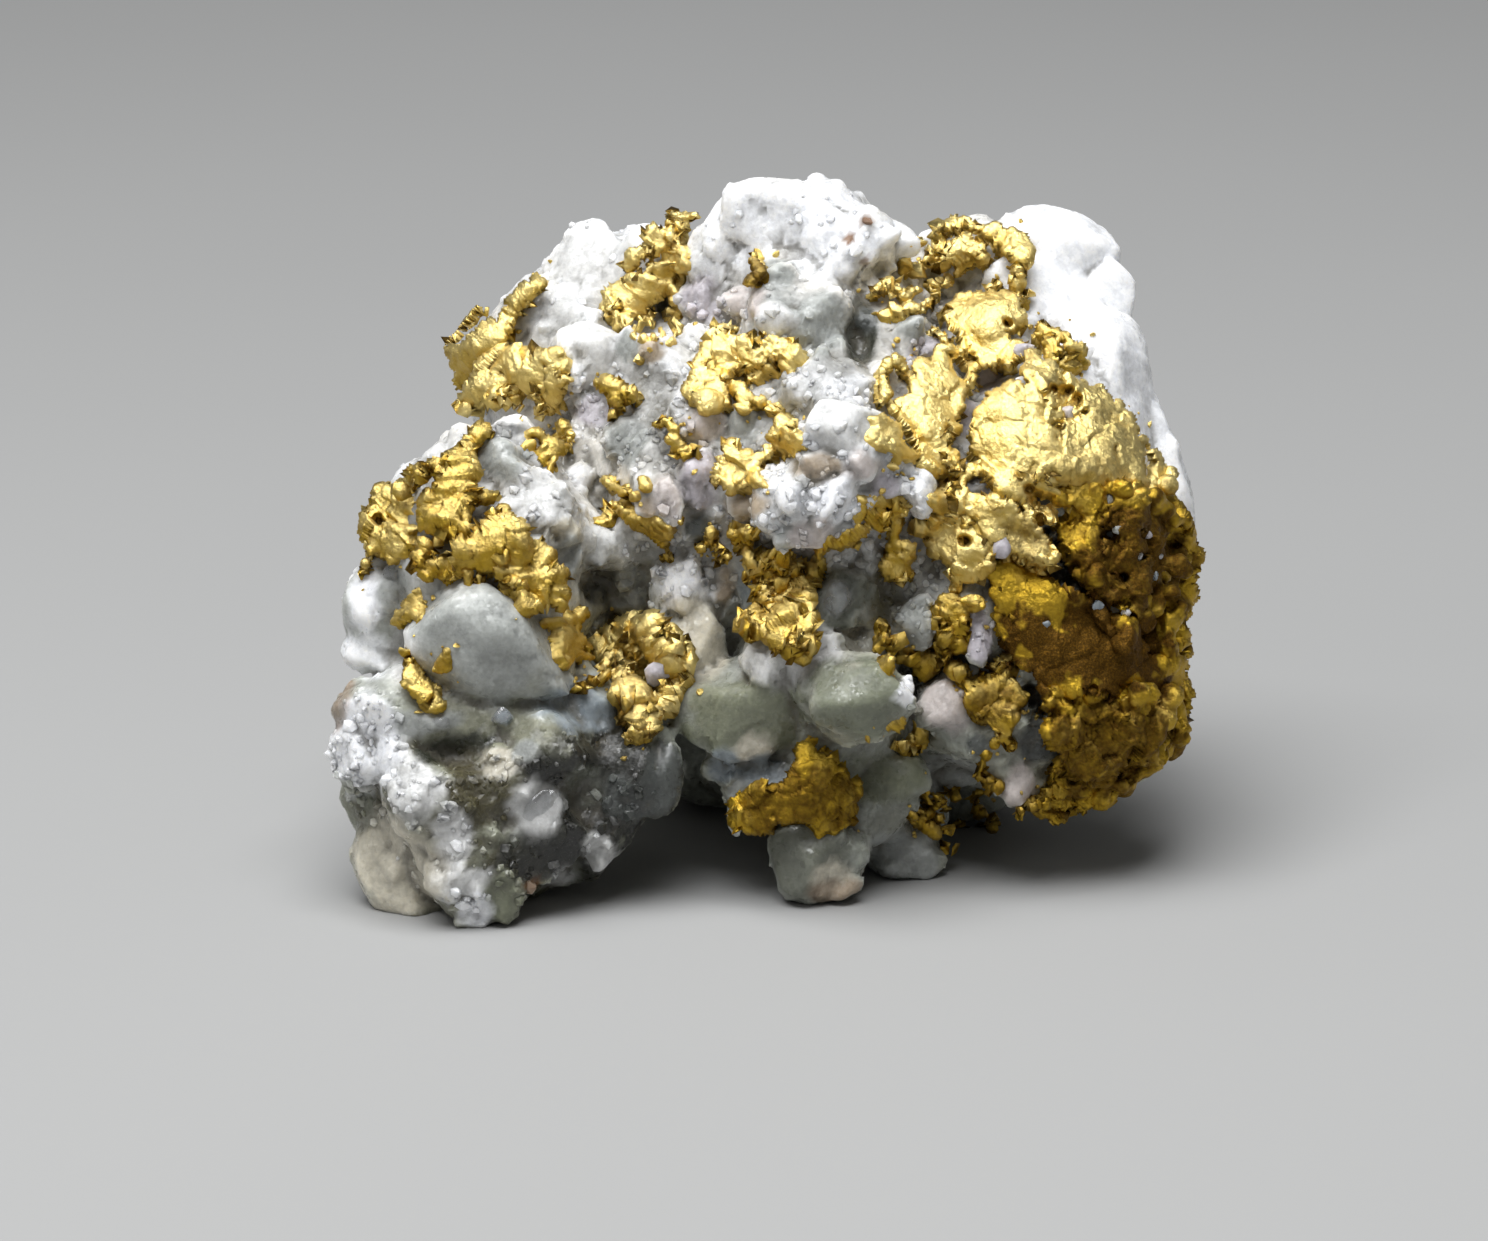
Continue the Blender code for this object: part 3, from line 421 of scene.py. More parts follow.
        (978, 500, 7), (958, 515, 9), (972, 514, 9), (985, 514, 7), (948, 520, 6), (916, 531, 4),
        (926, 533, 5), (936, 535, 6), (945, 541, 6), (950, 550, 6), (953, 560, 5), (962, 566, 5),
        (974, 564, 6), (984, 553, 5), (987, 541, 5), (994, 531, 6), (1000, 525, 7), (1007, 517, 8),
        (1016, 523, 8), (1025, 531, 8), (1018, 537, 9), (1031, 541, 8), (1039, 547, 7), (1030, 553, 7),
        (1047, 554, 5), (958, 578, 6), (970, 576, 6), (955, 590, 4),
    ),
    "gold_east": (
        (1078, 495, 9), (1092, 494, 9), (1108, 487, 6), (1123, 496, 11), (1138, 493, 11), (1154, 497, 11),
        (1066, 512, 7), (1079, 512, 11), (1094, 516, 9), (1136, 515, 12), (1156, 517, 13), (1172, 516, 9),
        (1062, 531, 6), (1076, 532, 12), (1092, 534, 9), (1130, 530, 8), (1132, 546, 9), (1158, 548, 11),
        (1164, 533, 10), (1172, 540, 13), (1183, 546, 8), (1078, 552, 10), (1092, 556, 12),
        (1107, 561, 11), (1130, 568, 12), (1146, 566, 10), (1171, 563, 14), (1184, 570, 9), (1090, 576, 8),
        (1103, 583, 8), (1119, 592, 11), (1137, 592, 13), (1157, 593, 14), (1174, 592, 13), (1186, 590, 7),
        (1131, 606, 7), (1150, 607, 8), (1166, 607, 9), (1178, 606, 6), (1118, 512, 6), (1147, 552, 5),
    ),
    "gold_slab": (
        (1030, 635, 14), (1028, 655, 13), (1050, 630, 16), (1050, 655, 18), (1075, 630, 16),
        (1075, 655, 20), (1100, 634, 16), (1100, 658, 22), (1125, 637, 16), (1125, 660, 22),
        (1150, 641, 14), (1150, 665, 20), (1170, 640, 12), (1170, 665, 14), (1062, 678, 8), (1085, 684, 7),
        (1110, 685, 6), (1140, 687, 10), (1160, 689, 10), (1018, 640, 8), (1016, 622, 7), (996, 572, 8),
        (1004, 585, 9), (1012, 579, 8), (1025, 581, 7), (1020, 596, 11), (1036, 592, 9), (1040, 605, 10),
        (1055, 602, 9), (1058, 612, 8), (1072, 606, 7), (1084, 609, 5), (1005, 602, 9), (1000, 616, 7),
        (1022, 613, 9), (1131, 621, 4), (1142, 621, 5), (1152, 620, 4),
    ),
    "gold_skirt": (
        (1045, 690, 5), (1050, 699, 6), (1062, 705, 7), (1074, 710, 8), (1061, 718, 9), (1083, 724, 9),
        (1070, 732, 9), (1058, 738, 8), (1110, 708, 8), (1096, 712, 8), (1128, 705, 8), (1140, 713, 9),
        (1150, 712, 7), (1162, 711, 6), (1172, 716, 8), (1177, 698, 6), (1168, 727, 7), (1105, 738, 9),
        (1092, 745, 9), (1120, 729, 8), (1133, 732, 10), (1150, 740, 12), (1162, 736, 8), (1117, 750, 8),
        (1130, 752, 9), (1142, 756, 8), (1104, 727, 6), (1090, 764, 5), (1083, 773, 5), (1070, 760, 7),
        (1079, 747, 6), (1096, 774, 8), (1088, 788, 7), (1079, 802, 6), (1062, 810, 6), (1054, 801, 6),
        (1072, 794, 6), (1128, 763, 5), (1110, 765, 6),
    ),
    "gold_rim": (
        (971, 799, 5), (980, 806, 5), (978, 816, 5), (994, 816, 6), (1007, 818, 5), (1021, 813, 5),
        (1034, 807, 5), (1044, 803, 5), (1003, 809, 4), (989, 783, 5), (998, 788, 5), (980, 778, 4),
        (981, 769, 4), (987, 757, 5), (996, 744, 6), (1004, 737, 5), (1012, 747, 5), (984, 792, 4),
        (992, 828, 3), (983, 833, 3), (973, 837, 3),
    ),
    "gold_toe": (
        (914, 816, 4), (920, 822, 5), (927, 828, 5), (936, 832, 5), (945, 832, 4), (954, 828, 5),
        (963, 824, 4), (927, 814, 4), (935, 807, 4), (940, 820, 5), (931, 796, 5), (941, 800, 5),
        (949, 808, 4), (956, 796, 5), (963, 801, 4), (949, 843, 3), (957, 842, 3), (966, 839, 3),
        (955, 816, 4),
    ),
    "gold_lattice": (
        (945, 611, 6), (952, 607, 5), (960, 604, 5), (968, 601, 5), (976, 603, 5), (950, 620, 6),
        (954, 630, 7), (957, 640, 7), (947, 643, 6), (884, 624, 5), (884, 634, 5), (882, 645, 5),
        (885, 656, 6), (890, 666, 7), (901, 667, 6), (906, 659, 5), (914, 660, 6), (892, 649, 6),
        (922, 665, 5), (929, 662, 4), (937, 658, 4), (945, 655, 4), (951, 664, 4), (957, 673, 5),
        (963, 682, 5), (1003, 664, 4), (998, 671, 4), (1008, 646, 4), (1012, 658, 5), (1012, 671, 5),
        (1006, 678, 5), (971, 689, 6), (979, 693, 7), (988, 690, 9), (1001, 690, 9), (1013, 688, 7),
        (1020, 698, 7), (1008, 706, 11), (993, 708, 11), (980, 704, 7), (998, 720, 7), (986, 718, 6),
        (1012, 716, 6),
    ),
    "gold_saddle": (
        (866, 502, 4), (874, 503, 5), (884, 504, 5), (895, 506, 5), (903, 509, 4), (868, 512, 5),
        (880, 519, 7), (893, 516, 6), (864, 523, 6), (860, 532, 6), (849, 537, 6), (840, 546, 5),
        (831, 545, 5), (821, 553, 5), (854, 545, 5), (895, 528, 6), (893, 537, 5), (892, 547, 7),
        (904, 551, 8), (911, 559, 6), (891, 565, 7), (902, 566, 8), (909, 576, 5), (897, 575, 6),
    ),
}

# Broad parts of the gold: their outlines in the view, across and down.
SHEETS = {
    "gold_crest": (
        ((1056, 436), (1072, 424), (1090, 418), (1108, 418), (1126, 428), (1142, 440), (1156, 462),
         (1166, 490), (1158, 502), (1140, 496), (1118, 486), (1096, 488), (1074, 482), (1058, 474),
         (1050, 455)),
        ((985, 398), (1000, 386), (1020, 386), (1038, 396), (1052, 412), (1058, 436), (1056, 460),
         (1046, 474), (1028, 476), (1010, 482), (992, 472), (980, 452), (976, 430), (978, 412)),
        ((944, 322), (955, 300), (975, 294), (1000, 296), (1012, 304), (1022, 320), (1012, 330),
         (996, 330), (1010, 345), (1030, 356), (1052, 372), (1078, 384), (1100, 396), (1122, 412),
         (1134, 430), (1126, 436), (1106, 420), (1086, 410), (1062, 398), (1040, 384), (1015, 368),
         (990, 360), (968, 352), (950, 344)),
        ((922, 366), (940, 352), (966, 352), (972, 380), (966, 400), (956, 416), (950, 440), (938, 456),
         (914, 456), (890, 450), (874, 436), (880, 420), (900, 404), (916, 392)),
        ((934, 494), (960, 500), (990, 498), (1006, 504), (1026, 516), (1044, 538), (1058, 562),
         (1040, 568), (1018, 558), (1000, 542), (990, 560), (978, 574), (960, 572), (950, 556),
         (930, 545), (920, 532), (940, 522)),
        ((1006, 484), (1030, 478), (1052, 476), (1064, 486), (1062, 500), (1052, 520), (1038, 522),
         (1020, 508)),
    ),
    "gold_east": (
        ((1064, 494), (1090, 484), (1120, 486), (1150, 490), (1170, 500), (1186, 526), (1194, 556),
         (1190, 590), (1184, 612), (1160, 616), (1134, 612), (1110, 600), (1090, 585), (1078, 562),
         (1064, 536), (1058, 512)),
    ),
    "gold_slab": (
        ((994, 566), (1010, 562), (1030, 574), (1050, 586), (1080, 596), (1100, 612), (1130, 622),
         (1160, 624), (1184, 628), (1186, 650), (1178, 684), (1150, 696), (1120, 690), (1090, 692),
         (1060, 688), (1040, 676), (1020, 660), (1008, 630), (998, 600)),
    ),
    "gold_skirt": (
        ((1044, 684), (1080, 696), (1120, 694), (1150, 700), (1180, 694), (1182, 716), (1168, 738),
         (1144, 760), (1120, 764), (1110, 780), (1092, 800), (1060, 814), (1040, 808), (1056, 790),
         (1064, 762), (1054, 735), (1048, 706)),
    ),
    "gold_hook": (
        ((630, 622), (655, 630), (676, 650), (684, 680), (672, 696), (652, 708), (634, 702), (618, 684),
         (602, 668), (600, 650), (612, 636)),
    ),
    "gold_apron": (
        ((740, 798), (760, 790), (790, 792), (800, 770), (800, 745), (812, 756), (836, 768), (852, 785),
         (856, 810), (840, 826), (818, 836), (806, 820), (780, 818), (756, 826), (740, 822)),
    ),
    "gold_lattice": (
        ((975, 690), (1000, 684), (1018, 692), (1022, 712), (1004, 726), (988, 720), (970, 704)),
        ((936, 600), (956, 596), (978, 600), (962, 612), (958, 630), (962, 646), (948, 644), (942, 622)),
    ),
    "gold_curtain": (
        ((756, 556), (782, 552), (790, 572), (806, 588), (806, 606), (790, 614), (770, 610), (764, 590),
         (772, 578)),
    ),
}

# How pale and bright each mass of gold is painted, partly for its own tone and partly as painted light, where
# it isn't as usual.
USUAL_PALENESS_AND_LIGHT = 0.5
PALENESS_AND_LIGHT = {
    "gold_crest": 1.0,
    "gold_cap": 0.9,
    "gold_ledge": 1.1,
    "gold_shoulder": 0.8,
    "gold_spur": 1.1,
    "gold_arc": 1.1,
    "gold_chain": 0.9,
    "gold_grain": 0.9,
    "gold_shelf": 1.1,
    "gold_cluster": 0.6,
    "gold_branch": 0.9,
    "gold_hook": 0.9,
    "gold_east": 0.15,
    "gold_slab": 0.0,
    "gold_skirt": 0.15,
    "gold_lattice": 0.35,
    "gold_apron": 0.1,
    "gold_rim": 0.25,
    "gold_toe": 0.25,
}

# Cracks and holes in the gold: rows of across, down and half width.
GROOVES = (
    (1039, 519, 6), (1047, 531, 6), (1056, 544, 7), (1065, 555, 7), (1074, 566, 8), (1082, 580, 7),
    (1086, 592, 6), (1100, 604, 6), (1115, 610, 6), (1130, 615, 4), (1150, 617, 3), (1168, 621, 5),
    (1180, 622, 5), (1014, 557, 4), (1024, 561, 4), (1034, 567, 5), (1046, 573, 8), (1058, 577, 9),
    (1070, 580, 7), (1062, 397, 10), (1050, 392, 6), (1074, 403, 7), (1035, 500, 10), (1046, 506, 12),
    (1058, 512, 9), (1028, 490, 6), (1030, 690, 7), (1037, 700, 8), (1042, 712, 6), (1128, 689, 6),
    (1072, 773, 9), (1064, 768, 6), (967, 542, 6), (379, 521, 5), (1006, 324, 4), (1108, 499, 5),
    (1110, 537, 8), (1148, 535, 5), (1139, 556, 4), (1123, 577, 5), (1155, 575, 4), (1179, 521, 4),
    (1186, 566, 4), (1092, 690, 5), (1104, 695, 5), (1148, 700, 4), (1098, 718, 5), (1052, 714, 5),
)

# How rough each mass of gold is, where it isn't 1.
ROUGHNESS = {
    "gold_crest": 0.5,
    "gold_slab": 0.3,
    "gold_apron": 0.9,
    "gold_sheet": 0.6,
    "gold_leaf": 0.7,
    "gold_shoulder": 0.6,
    "gold_east": 1.1,
    "gold_skirt": 1.7,
    "gold_hook": 0.75,
    "gold_cluster": 0.85,
}

# How far each mass of gold stands out of the quartz beyond its solid, in millimetres.
USUAL_PROUD = 0.035
PROUD = {
    "gold_hook": 0.2,
    "gold_frame": 0.16,
    "gold_curtain": 0.15,
    "gold_arc": 0.08,
    "gold_ledge": 0.12,
    "gold_lattice": 0.12,
    "gold_west": 0.08,
}

# Quartz grains caught in the gold: across, down, half width, half height, roll, stands proud by and colour.
CAUGHT = (
    (1108, 499, 6, 6, 0, 1, "grey"),
    (1110, 537, 7, 9, 0, 1, "blue"),
    (1117, 530, 5, 4, 0, 2, "grey"),
    (1148, 535, 5, 4, 0, 2, "lavender"),
    (1139, 556, 4, 4, 0, 2, "milk"),
    (1123, 577, 5, 4, 0, 1, "blue"),
    (1155, 575, 4, 5, 0, 1, "blue"),
    (1003, 548, 8, 13, -10, 5, "lavender"),
    (1056, 577, 22, 10, 12, 0, "dark"),
    (1040, 500, 11, 9, 0, 1, "dark"),
    (1056, 510, 9, 8, 0, 1, "blue"),
    (1068, 412, 9, 7, 0, 3, "pink"),
    (658, 670, 12, 12, 0, 3, "lavender"),
    (1098, 605, 6, 5, 0, 2, "blue"),
    (1112, 609, 7, 5, 0, 2, "grey"),
    (1125, 613, 5, 4, 0, 2, "white"),
    (1046, 624, 5, 4, 0, 1, "blue"),
    (1022, 350, 9, 7, 0, 3, "lavender"),
    (985, 381, 15, 13, 0, 5, "lavender"),
    (1160, 556, 3, 3, 0, 1, "white"),
)

# Sugary parts of the quartz: across, down, half width, half height, roll and how thickly crystals lie.
SUGARY = (
    (795, 245, 115, 72, 0, 0.12),
    (810, 470, 115, 120, 0, 0.9),
    (630, 400, 90, 80, 0, 0.9),
    (470, 830, 130, 95, 0, 0.5),
    (505, 480, 60, 60, 0, 0.8),
    (365, 745, 45, 60, 0, 0.9),
    (600, 270, 80, 60, 0, 0.25),
    (560, 790, 100, 60, 0, 0.5),
    (730, 320, 60, 50, 0, 0.8),
    (960, 400, 90, 120, 0, 0.5),
    (950, 640, 80, 110, 0, 0.4),
    (700, 560, 90, 60, 0, 0.5),
)

# The left foot, painted darker for its own darker colour and as painted shade: across, down, half width, half
# height and roll.
LEFT_FOOT = (500, 805, 165, 120, 0)

# Mottled parts of the quartz: across, down, half width, half height, roll and strength.
MOTTLES = (
    (500, 815, 170, 120, 0, 1.0),
    (440, 500, 90, 70, 0, 0.5),
    (720, 440, 170, 90, 0, 0.6),
    (830, 350, 90, 60, 0, 0.5),
    (620, 430, 70, 60, 0, 0.6),
    (800, 620, 120, 70, 0, 0.6),
    (960, 660, 90, 110, 0, 0.8),
    (760, 770, 90, 60, 0, 0.7),
    (960, 400, 90, 120, 0, 0.4),
)

# Stains of the quartz, with dark mineral and painted shade in its hollows and clefts as the darkest kind:
# across, down, half width, half height, roll, strength and kind.
STAINS = (
    (462, 745, 40, 13, -12, 1.1, "moss"),
    (430, 755, 16, 10, 0, 1.1, "moss"),
    (486, 792, 46, 36, 0, 1.0, "olive"),
    (556, 842, 60, 22, -20, 0.85, "dark_mineral_and_shade"),
    (590, 770, 70, 40, 0, 0.8, "dark_mineral_and_shade"),
    (525, 865, 26, 18, 0, 0.6, "olive"),
    (390, 802, 16, 14, 0, 0.7, "olive"),
    (434, 820, 12, 12, 0, 0.6, "olive"),
    (486, 842, 16, 10, 0, 0.6, "olive"),
    (608, 800, 66, 74, 0, 1.1, "dark_mineral_and_shade"),
    (540, 855, 50, 22, -15, 1.0, "dark_mineral_and_shade"),
    (663, 785, 20, 42, 0, 0.9, "dark_mineral_and_shade"),
    (572, 853, 14, 8, 0, 0.8, "dark_mineral_and_shade"),
    (526, 868, 12, 14, 0, 0.7, "dark_mineral_and_shade"),
    (531, 885, 8, 6, 0, 0.8, "rust"),
    (340, 700, 14, 40, 0, 0.5, "rust"),
    (860, 336, 16, 36, 0, 0.9, "moss"),
    (603, 582, 24, 24, 0, 0.8, "dark_mineral_and_shade"),
    (438, 532, 28, 16, 0, 0.6, "moss"),
    (886, 596, 16, 38, 0, 0.9, "olive"),
    (510, 430, 18, 5, 0, 0.8, "dark_mineral_and_shade"),
    (690, 502, 20, 5, 30, 0.8, "dark_mineral_and_shade"),
    (804, 577, 18, 11, 0, 0.7, "rust"),
    (850, 239, 6, 5, 0, 0.8, "rust"),
    (866, 219, 5, 5, 0, 0.7, "rust"),
    (864, 262, 5, 5, 0, 0.7, "rust"),
    (838, 892, 26, 13, 0, 0.5, "rust"),
    (1036, 705, 14, 24, 0, 0.9, "dark_mineral_and_shade"),
    (745, 785, 22, 14, 0, 0.5, "olive"),
    (690, 560, 30, 12, 0, 0.5, "olive"),
    (560, 500, 22, 16, 0, 0.5, "olive"),
    (640, 400, 44, 34, 0, 0.55, "olive"),
    (900, 830, 30, 20, 0, 0.4, "olive"),
)
STAIN_COLOURS = {
    "moss": (0.022, 0.024, 0.012),
    "olive": (0.06, 0.052, 0.022),
    # near black: dark mineral and painted shade in hollows and clefts
    "dark_mineral_and_shade": (0.018, 0.018, 0.013),
    "rust": (0.20, 0.09, 0.025),
}

# See-through grains: across, down, half width, half height and roll.
CLEAR_GRAINS = (
    (396, 573, 11, 13, 10),
    (502, 716, 9, 7, 0),
    (441, 722, 8, 6, 20),
    (533, 806, 20, 17, -10),
    (836, 597, 13, 15, 5),
)

# Brown iron stain on the gold: across, down, half width, half height and strength.
GOLD_STAINS = (
    (1090, 650, 100, 48, 1.0),
    (1028, 540, 30, 30, 0.45),
    (1130, 560, 76, 66, 0.7),
    (1000, 705, 36, 24, 0.5),
    (755, 272, 14, 16, 0.6),
    (1110, 750, 84, 62, 0.6),
    (800, 800, 64, 48, 0.55),
    (1100, 462, 56, 30, 0.3),
    (900, 650, 60, 40, 0.2),
    (1010, 800, 60, 40, 0.45),
    (945, 820, 60, 40, 0.3),
    (960, 620, 40, 40, 0.15),
    (415, 685, 40, 40, 0.1),
    (645, 715, 60, 70, 0.35),
    (440, 570, 120, 80, 0.2),
    (480, 640, 80, 50, 0.3),
)

rng = np.random.default_rng(SEED)


# ---- Random patterns in space ----

CORNERS = [np.array((i, j, k)) for i in (0, 1) for j in (0, 1) for k in (0, 1)]
AROUND = [np.array((i, j, k)) for i in (-1, 0, 1) for j in (-1, 0, 1) for k in (-1, 0, 1)]


def hashed(cell, salt):
    """A number from 0 to 1 for each whole cell: the fraction of a large sine of its place."""
    wave = np.sin(cell @ np.array((127.1, 311.7, 74.7)) + salt * 53.7) * 43758.5453
    return wave - np.floor(wave)


def noise(points, size, salt=0):
    """Smooth values from -1 to 1: hashed values at the corners of cells, mixed by t * t * (3 - 2t)."""
    place = points / size
    cell = np.floor(place)
    part = place - cell
    part = part * part * (3 - 2 * part)
    total = np.zeros(len(points))
    for corner in CORNERS:
        total += np.where(corner, part, 1 - part).prod(axis=1) * hashed(cell + corner, salt)
    return 2 * total - 1


def layered(points, size, layers, salt=0):
    """The sum of noise of each size / 2^k, at 1 / 2^k of its strength."""
    return sum(noise(points, size / 2**k, salt + k) / 2**k for k in range(layers))


def nearest_cell(points, size, salt):
    """One point lies somewhere in each cell of this size. For each given point, the cell whose point is
    nearest, the way from that point, and its length, all in cells."""
    place = points / size
    cell = np.floor(place)
    nearest, way = np.zeros_like(place), np.zeros_like(place)
    gap = np.full(len(points), 9.0)
    for step in AROUND:
        other = cell + step
        offset = place - (other + np.stack([hashed(other, salt + k) for k in range(3)], axis=1))
        length = np.linalg.norm(offset, axis=1)
        closer = length < gap
        nearest[closer], way[closer], gap[closer] = other[closer], offset[closer], length[closer]
    return nearest, way, gap


def broken(points, size, salt):
    """Heights in cells that slope their own way in each cell of this size, as broken crystal faces do: the
    dot product of a random tilt from -0.5 to 0.5 with the way from the cell's own point."""
    cell, way, _ = nearest_cell(points, size, salt)
    tilt = np.stack([hashed(cell, salt + k) for k in range(3, 6)], axis=1) - 0.5
    return (way * tilt).sum(axis=1)


def relief_of(points, rows):
    """The sum of broken heights over rows of cell size, height and salt."""
    return sum(height * broken(points, size, salt) for size, height, salt in rows)


def ridged(points, size, salt):
    """Sharp crests from -1 to 1: one less twice the size of the noise."""
    return 1 - 2 * np.abs(noise(points, size, salt))


def eased(values, low, high):
    """0 up to low, 1 from high, and t * t * (3 - 2t) between them; low may be the higher."""
    t = np.clip((values - low) / (high - low), 0, 1)
    return t * t * (3 - 2 * t)


# ---- Meshes as arrays, in millimetres ----


def new_object(name, points, faces):
    """An object of these points and triangles, in the units given."""
    mesh = bpy.data.meshes.new(name)
    mesh.from_pydata(points, [], faces)
    mesh.update()
    made = bpy.data.objects.new(name, mesh)
    bpy.context.scene.collection.objects.link(made)
    return made


def arrays_of(mesh):
    """Points and triangles of a mesh."""
    mesh.calc_loop_triangles()
    points = np.empty(len(mesh.vertices) * 3)
    mesh.vertices.foreach_get("co", points)
    faces = np.empty(len(mesh.loop_triangles) * 3, dtype=np.int32)
    mesh.loop_triangles.foreach_get("vertices", faces)
    return points.reshape(-1, 3), faces.reshape(-1, 3)


def merged(points, faces):
    """The same surface with its loose triangles joined: points that lie within a micron are made one."""
    rounded, index = np.unique(np.round(points, 3), axis=0, return_inverse=True)
    faces = index.reshape(-1)[faces]
    whole = (faces[:, 0] != faces[:, 1]) & (faces[:, 1] != faces[:, 2]) & (faces[:, 0] != faces[:, 2])
    return rounded, faces[whole]


def cad_solid(name):
    """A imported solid's points in millimetres and its triangles, merged."""
    points, faces = arrays_of(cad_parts[name].data)
    return merged(points / MM, faces)


def joined(parts):
    """Several (points, triangles) as one."""
    start = np.cumsum([0] + [len(points) for points, _ in parts])
    points = np.concatenate([points for points, _ in parts])
    faces = np.concatenate([faces + first for (_, faces), first in zip(parts, start)])
    return points, faces


def modified(points, faces, kind, **settings):
    """The mesh that one modifier makes of these arrays, as arrays."""
    made = new_object("work", points, faces)
    modifier = made.modifiers.new("work", kind)
    for key, value in settings.items():
        setattr(modifier, key, value)
    evaluated = made.evaluated_get(bpy.context.evaluated_depsgraph_get())
    result = arrays_of(evaluated.to_mesh())
    evaluated.to_mesh_clear()
    mesh = made.data
    bpy.data.objects.remove(made)
    bpy.data.meshes.remove(mesh)
    return result


def fused(parts, voxel):
    """One skin round all the parts, made of cells of this size."""
    return modified(*joined(parts), "REMESH", mode="VOXEL", voxel_size=voxel, adaptivity=0.0)


def thinned(points, faces, most):
    """The surface with no more triangles than this; flat places lose theirs first."""
    if len(faces) <= most:
        return points, faces
    return modified(points, faces, "DECIMATE", ratio=most / len(faces))


def neighbour_mean(points, faces):
    """For each point, the mean of the points that share an edge with it."""
    ends = np.concatenate((faces, np.roll(faces, -1, axis=1), np.roll(faces, 1, axis=1)))[:, :2]
    count = np.bincount(ends[:, 0], minlength=len(points))
    sums = [np.bincount(ends[:, 0], weights=points[ends[:, 1], k], minlength=len(points)) for k in range(3)]
    return np.stack(sums, axis=1) / np.maximum(count, 1)[:, None]


def smoothed(points, faces, passes, share=0.5):
    """Each pass moves every point this share of the way to the mean of its neighbours."""
    for _ in range(passes):
        points = points + share * (neighbour_mean(points, faces) - points)
    return points


def normals_of(points, faces):
    """The area-weighted sum of the normals of each point's triangles, to length 1."""
    a, b, c = (points[faces[:, k]] for k in range(3))
    flat = np.cross(b - a, c - a)
    total = np.zeros_like(points)
    for k in range(3):
        for axis in range(3):
            total[:, axis] += np.bincount(faces[:, k], weights=flat[:, axis], minlength=len(points))
    return total / np.maximum(np.linalg.norm(total, axis=1), 1e-12)[:, None]


def hollowness(points, faces, passes, depth):
    """0 on bumps and 1 in hollows: how far smoothing moves a point out along its normal, over depth."""
    lift = ((smoothed(points, faces, passes) - points) * normals_of(points, faces)).sum(axis=1)
    return np.clip(0.5 + lift / (2 * depth), 0, 1)


def area_of(points, faces):
    """The area of a surface."""
    a, b, c = (points[faces[:, k]] for k in range(3))
    return np.linalg.norm(np.cross(b - a, c - a), axis=1).sum() / 2


def scattered(points, faces, count):
    """Random places on the surface, even by area, with the normals there."""
    a, b, c = (points[faces[:, k]] for k in range(3))
    flat = np.cross(b - a, c - a)
    area = np.linalg.norm(flat, axis=1)
    pick = rng.choice(len(faces), count, p=area / area.sum())
    s, t = rng.random(count), rng.random(count)
    over = s + t > 1
    s, t = np.where(over, 1 - s, s)[:, None], np.where(over, 1 - t, t)[:, None]
    places = a[pick] + s * (b[pick] - a[pick]) + t * (c[pick] - a[pick])
    return places, flat[pick] / np.maximum(area[pick], 1e-12)[:, None]


# ---- The view ----


def in_view(points):
    """Across, down and distance of each point, as the camera sees it."""
    away = points - EYE
    depth = away @ AWAY
    scale = DISTANCE * PER_MM / depth
    across = VIEW_WIDTH / 2 + (away @ RIGHT) * scale
    down = VIEW_HEIGHT / 2 - (away @ UP) * scale
    return across, down, depth


def sight(across, down):
    """The direction in which the camera sees this place of the view."""
    aim = AIM + RIGHT * (across - VIEW_WIDTH / 2) / PER_MM + UP * (VIEW_HEIGHT / 2 - down) / PER_MM
    return (aim - EYE) / np.linalg.norm(aim - EYE)


def struck(tree, across, down):
    """How far from the camera the surface lies at this place of the view, or None beside it."""
    return tree.ray_cast(Vector(EYE), Vector(sight(across, down)))[3]


def tree_of(points, faces):
    """The surface as a tree that lines of sight can be cast at."""
    return BVHTree.FromPolygons(points.tolist(), faces.tolist())


def ring_gap(points, place):
    """Distance from the middle of a turned ellipse of the view, in its half sizes, for each point."""
    across, down, _ = in_view(points)
    x0, y0, half_width, half_height, roll = place
    turn = math.radians(roll)
    x, y = across - x0, down - y0
    along = (x * math.cos(turn) + y * math.sin(turn)) / half_width
    over = (y * math.cos(turn) - x * math.sin(turn)) / half_height
    return np.sqrt(along * along + over * over)


# ---- Grains and lumps ----


def ball_grid(rings, turns):
    """Directions on a ball, in rows of one latitude with a point at each pole, and its triangles."""
    latitude = np.linspace(0, np.pi, rings + 1)[1:-1]
    longitude = np.arange(turns) * 2 * np.pi / turns
    a, b = np.meshgrid(latitude, longitude, indexing="ij")
    rows = np.stack((np.sin(a) * np.cos(b), np.sin(a) * np.sin(b), np.cos(a)), axis=-1).reshape(-1, 3)
    i, j = np.meshgrid(np.arange(rings - 2), np.arange(turns), indexing="ij")
    here, side = (i * turns + j).ravel(), (i * turns + (j + 1) % turns).ravel()
    start, end = np.arange(turns), (rings - 2) * turns + np.arange(turns)
    top, bottom = np.full(turns, len(rows)), np.full(turns, len(rows) + 1)
    faces = np.concatenate(
        (
            np.stack((here, here + turns, side + turns), axis=1),
            np.stack((here, side + turns, side), axis=1),
            np.stack((top, start, np.roll(start, -1)), axis=1),
            np.stack((bottom, np.roll(end, -1), end), axis=1),
        )
    )
    return np.concatenate((rows, ((0, 0, 1), (0, 0, -1)))), faces


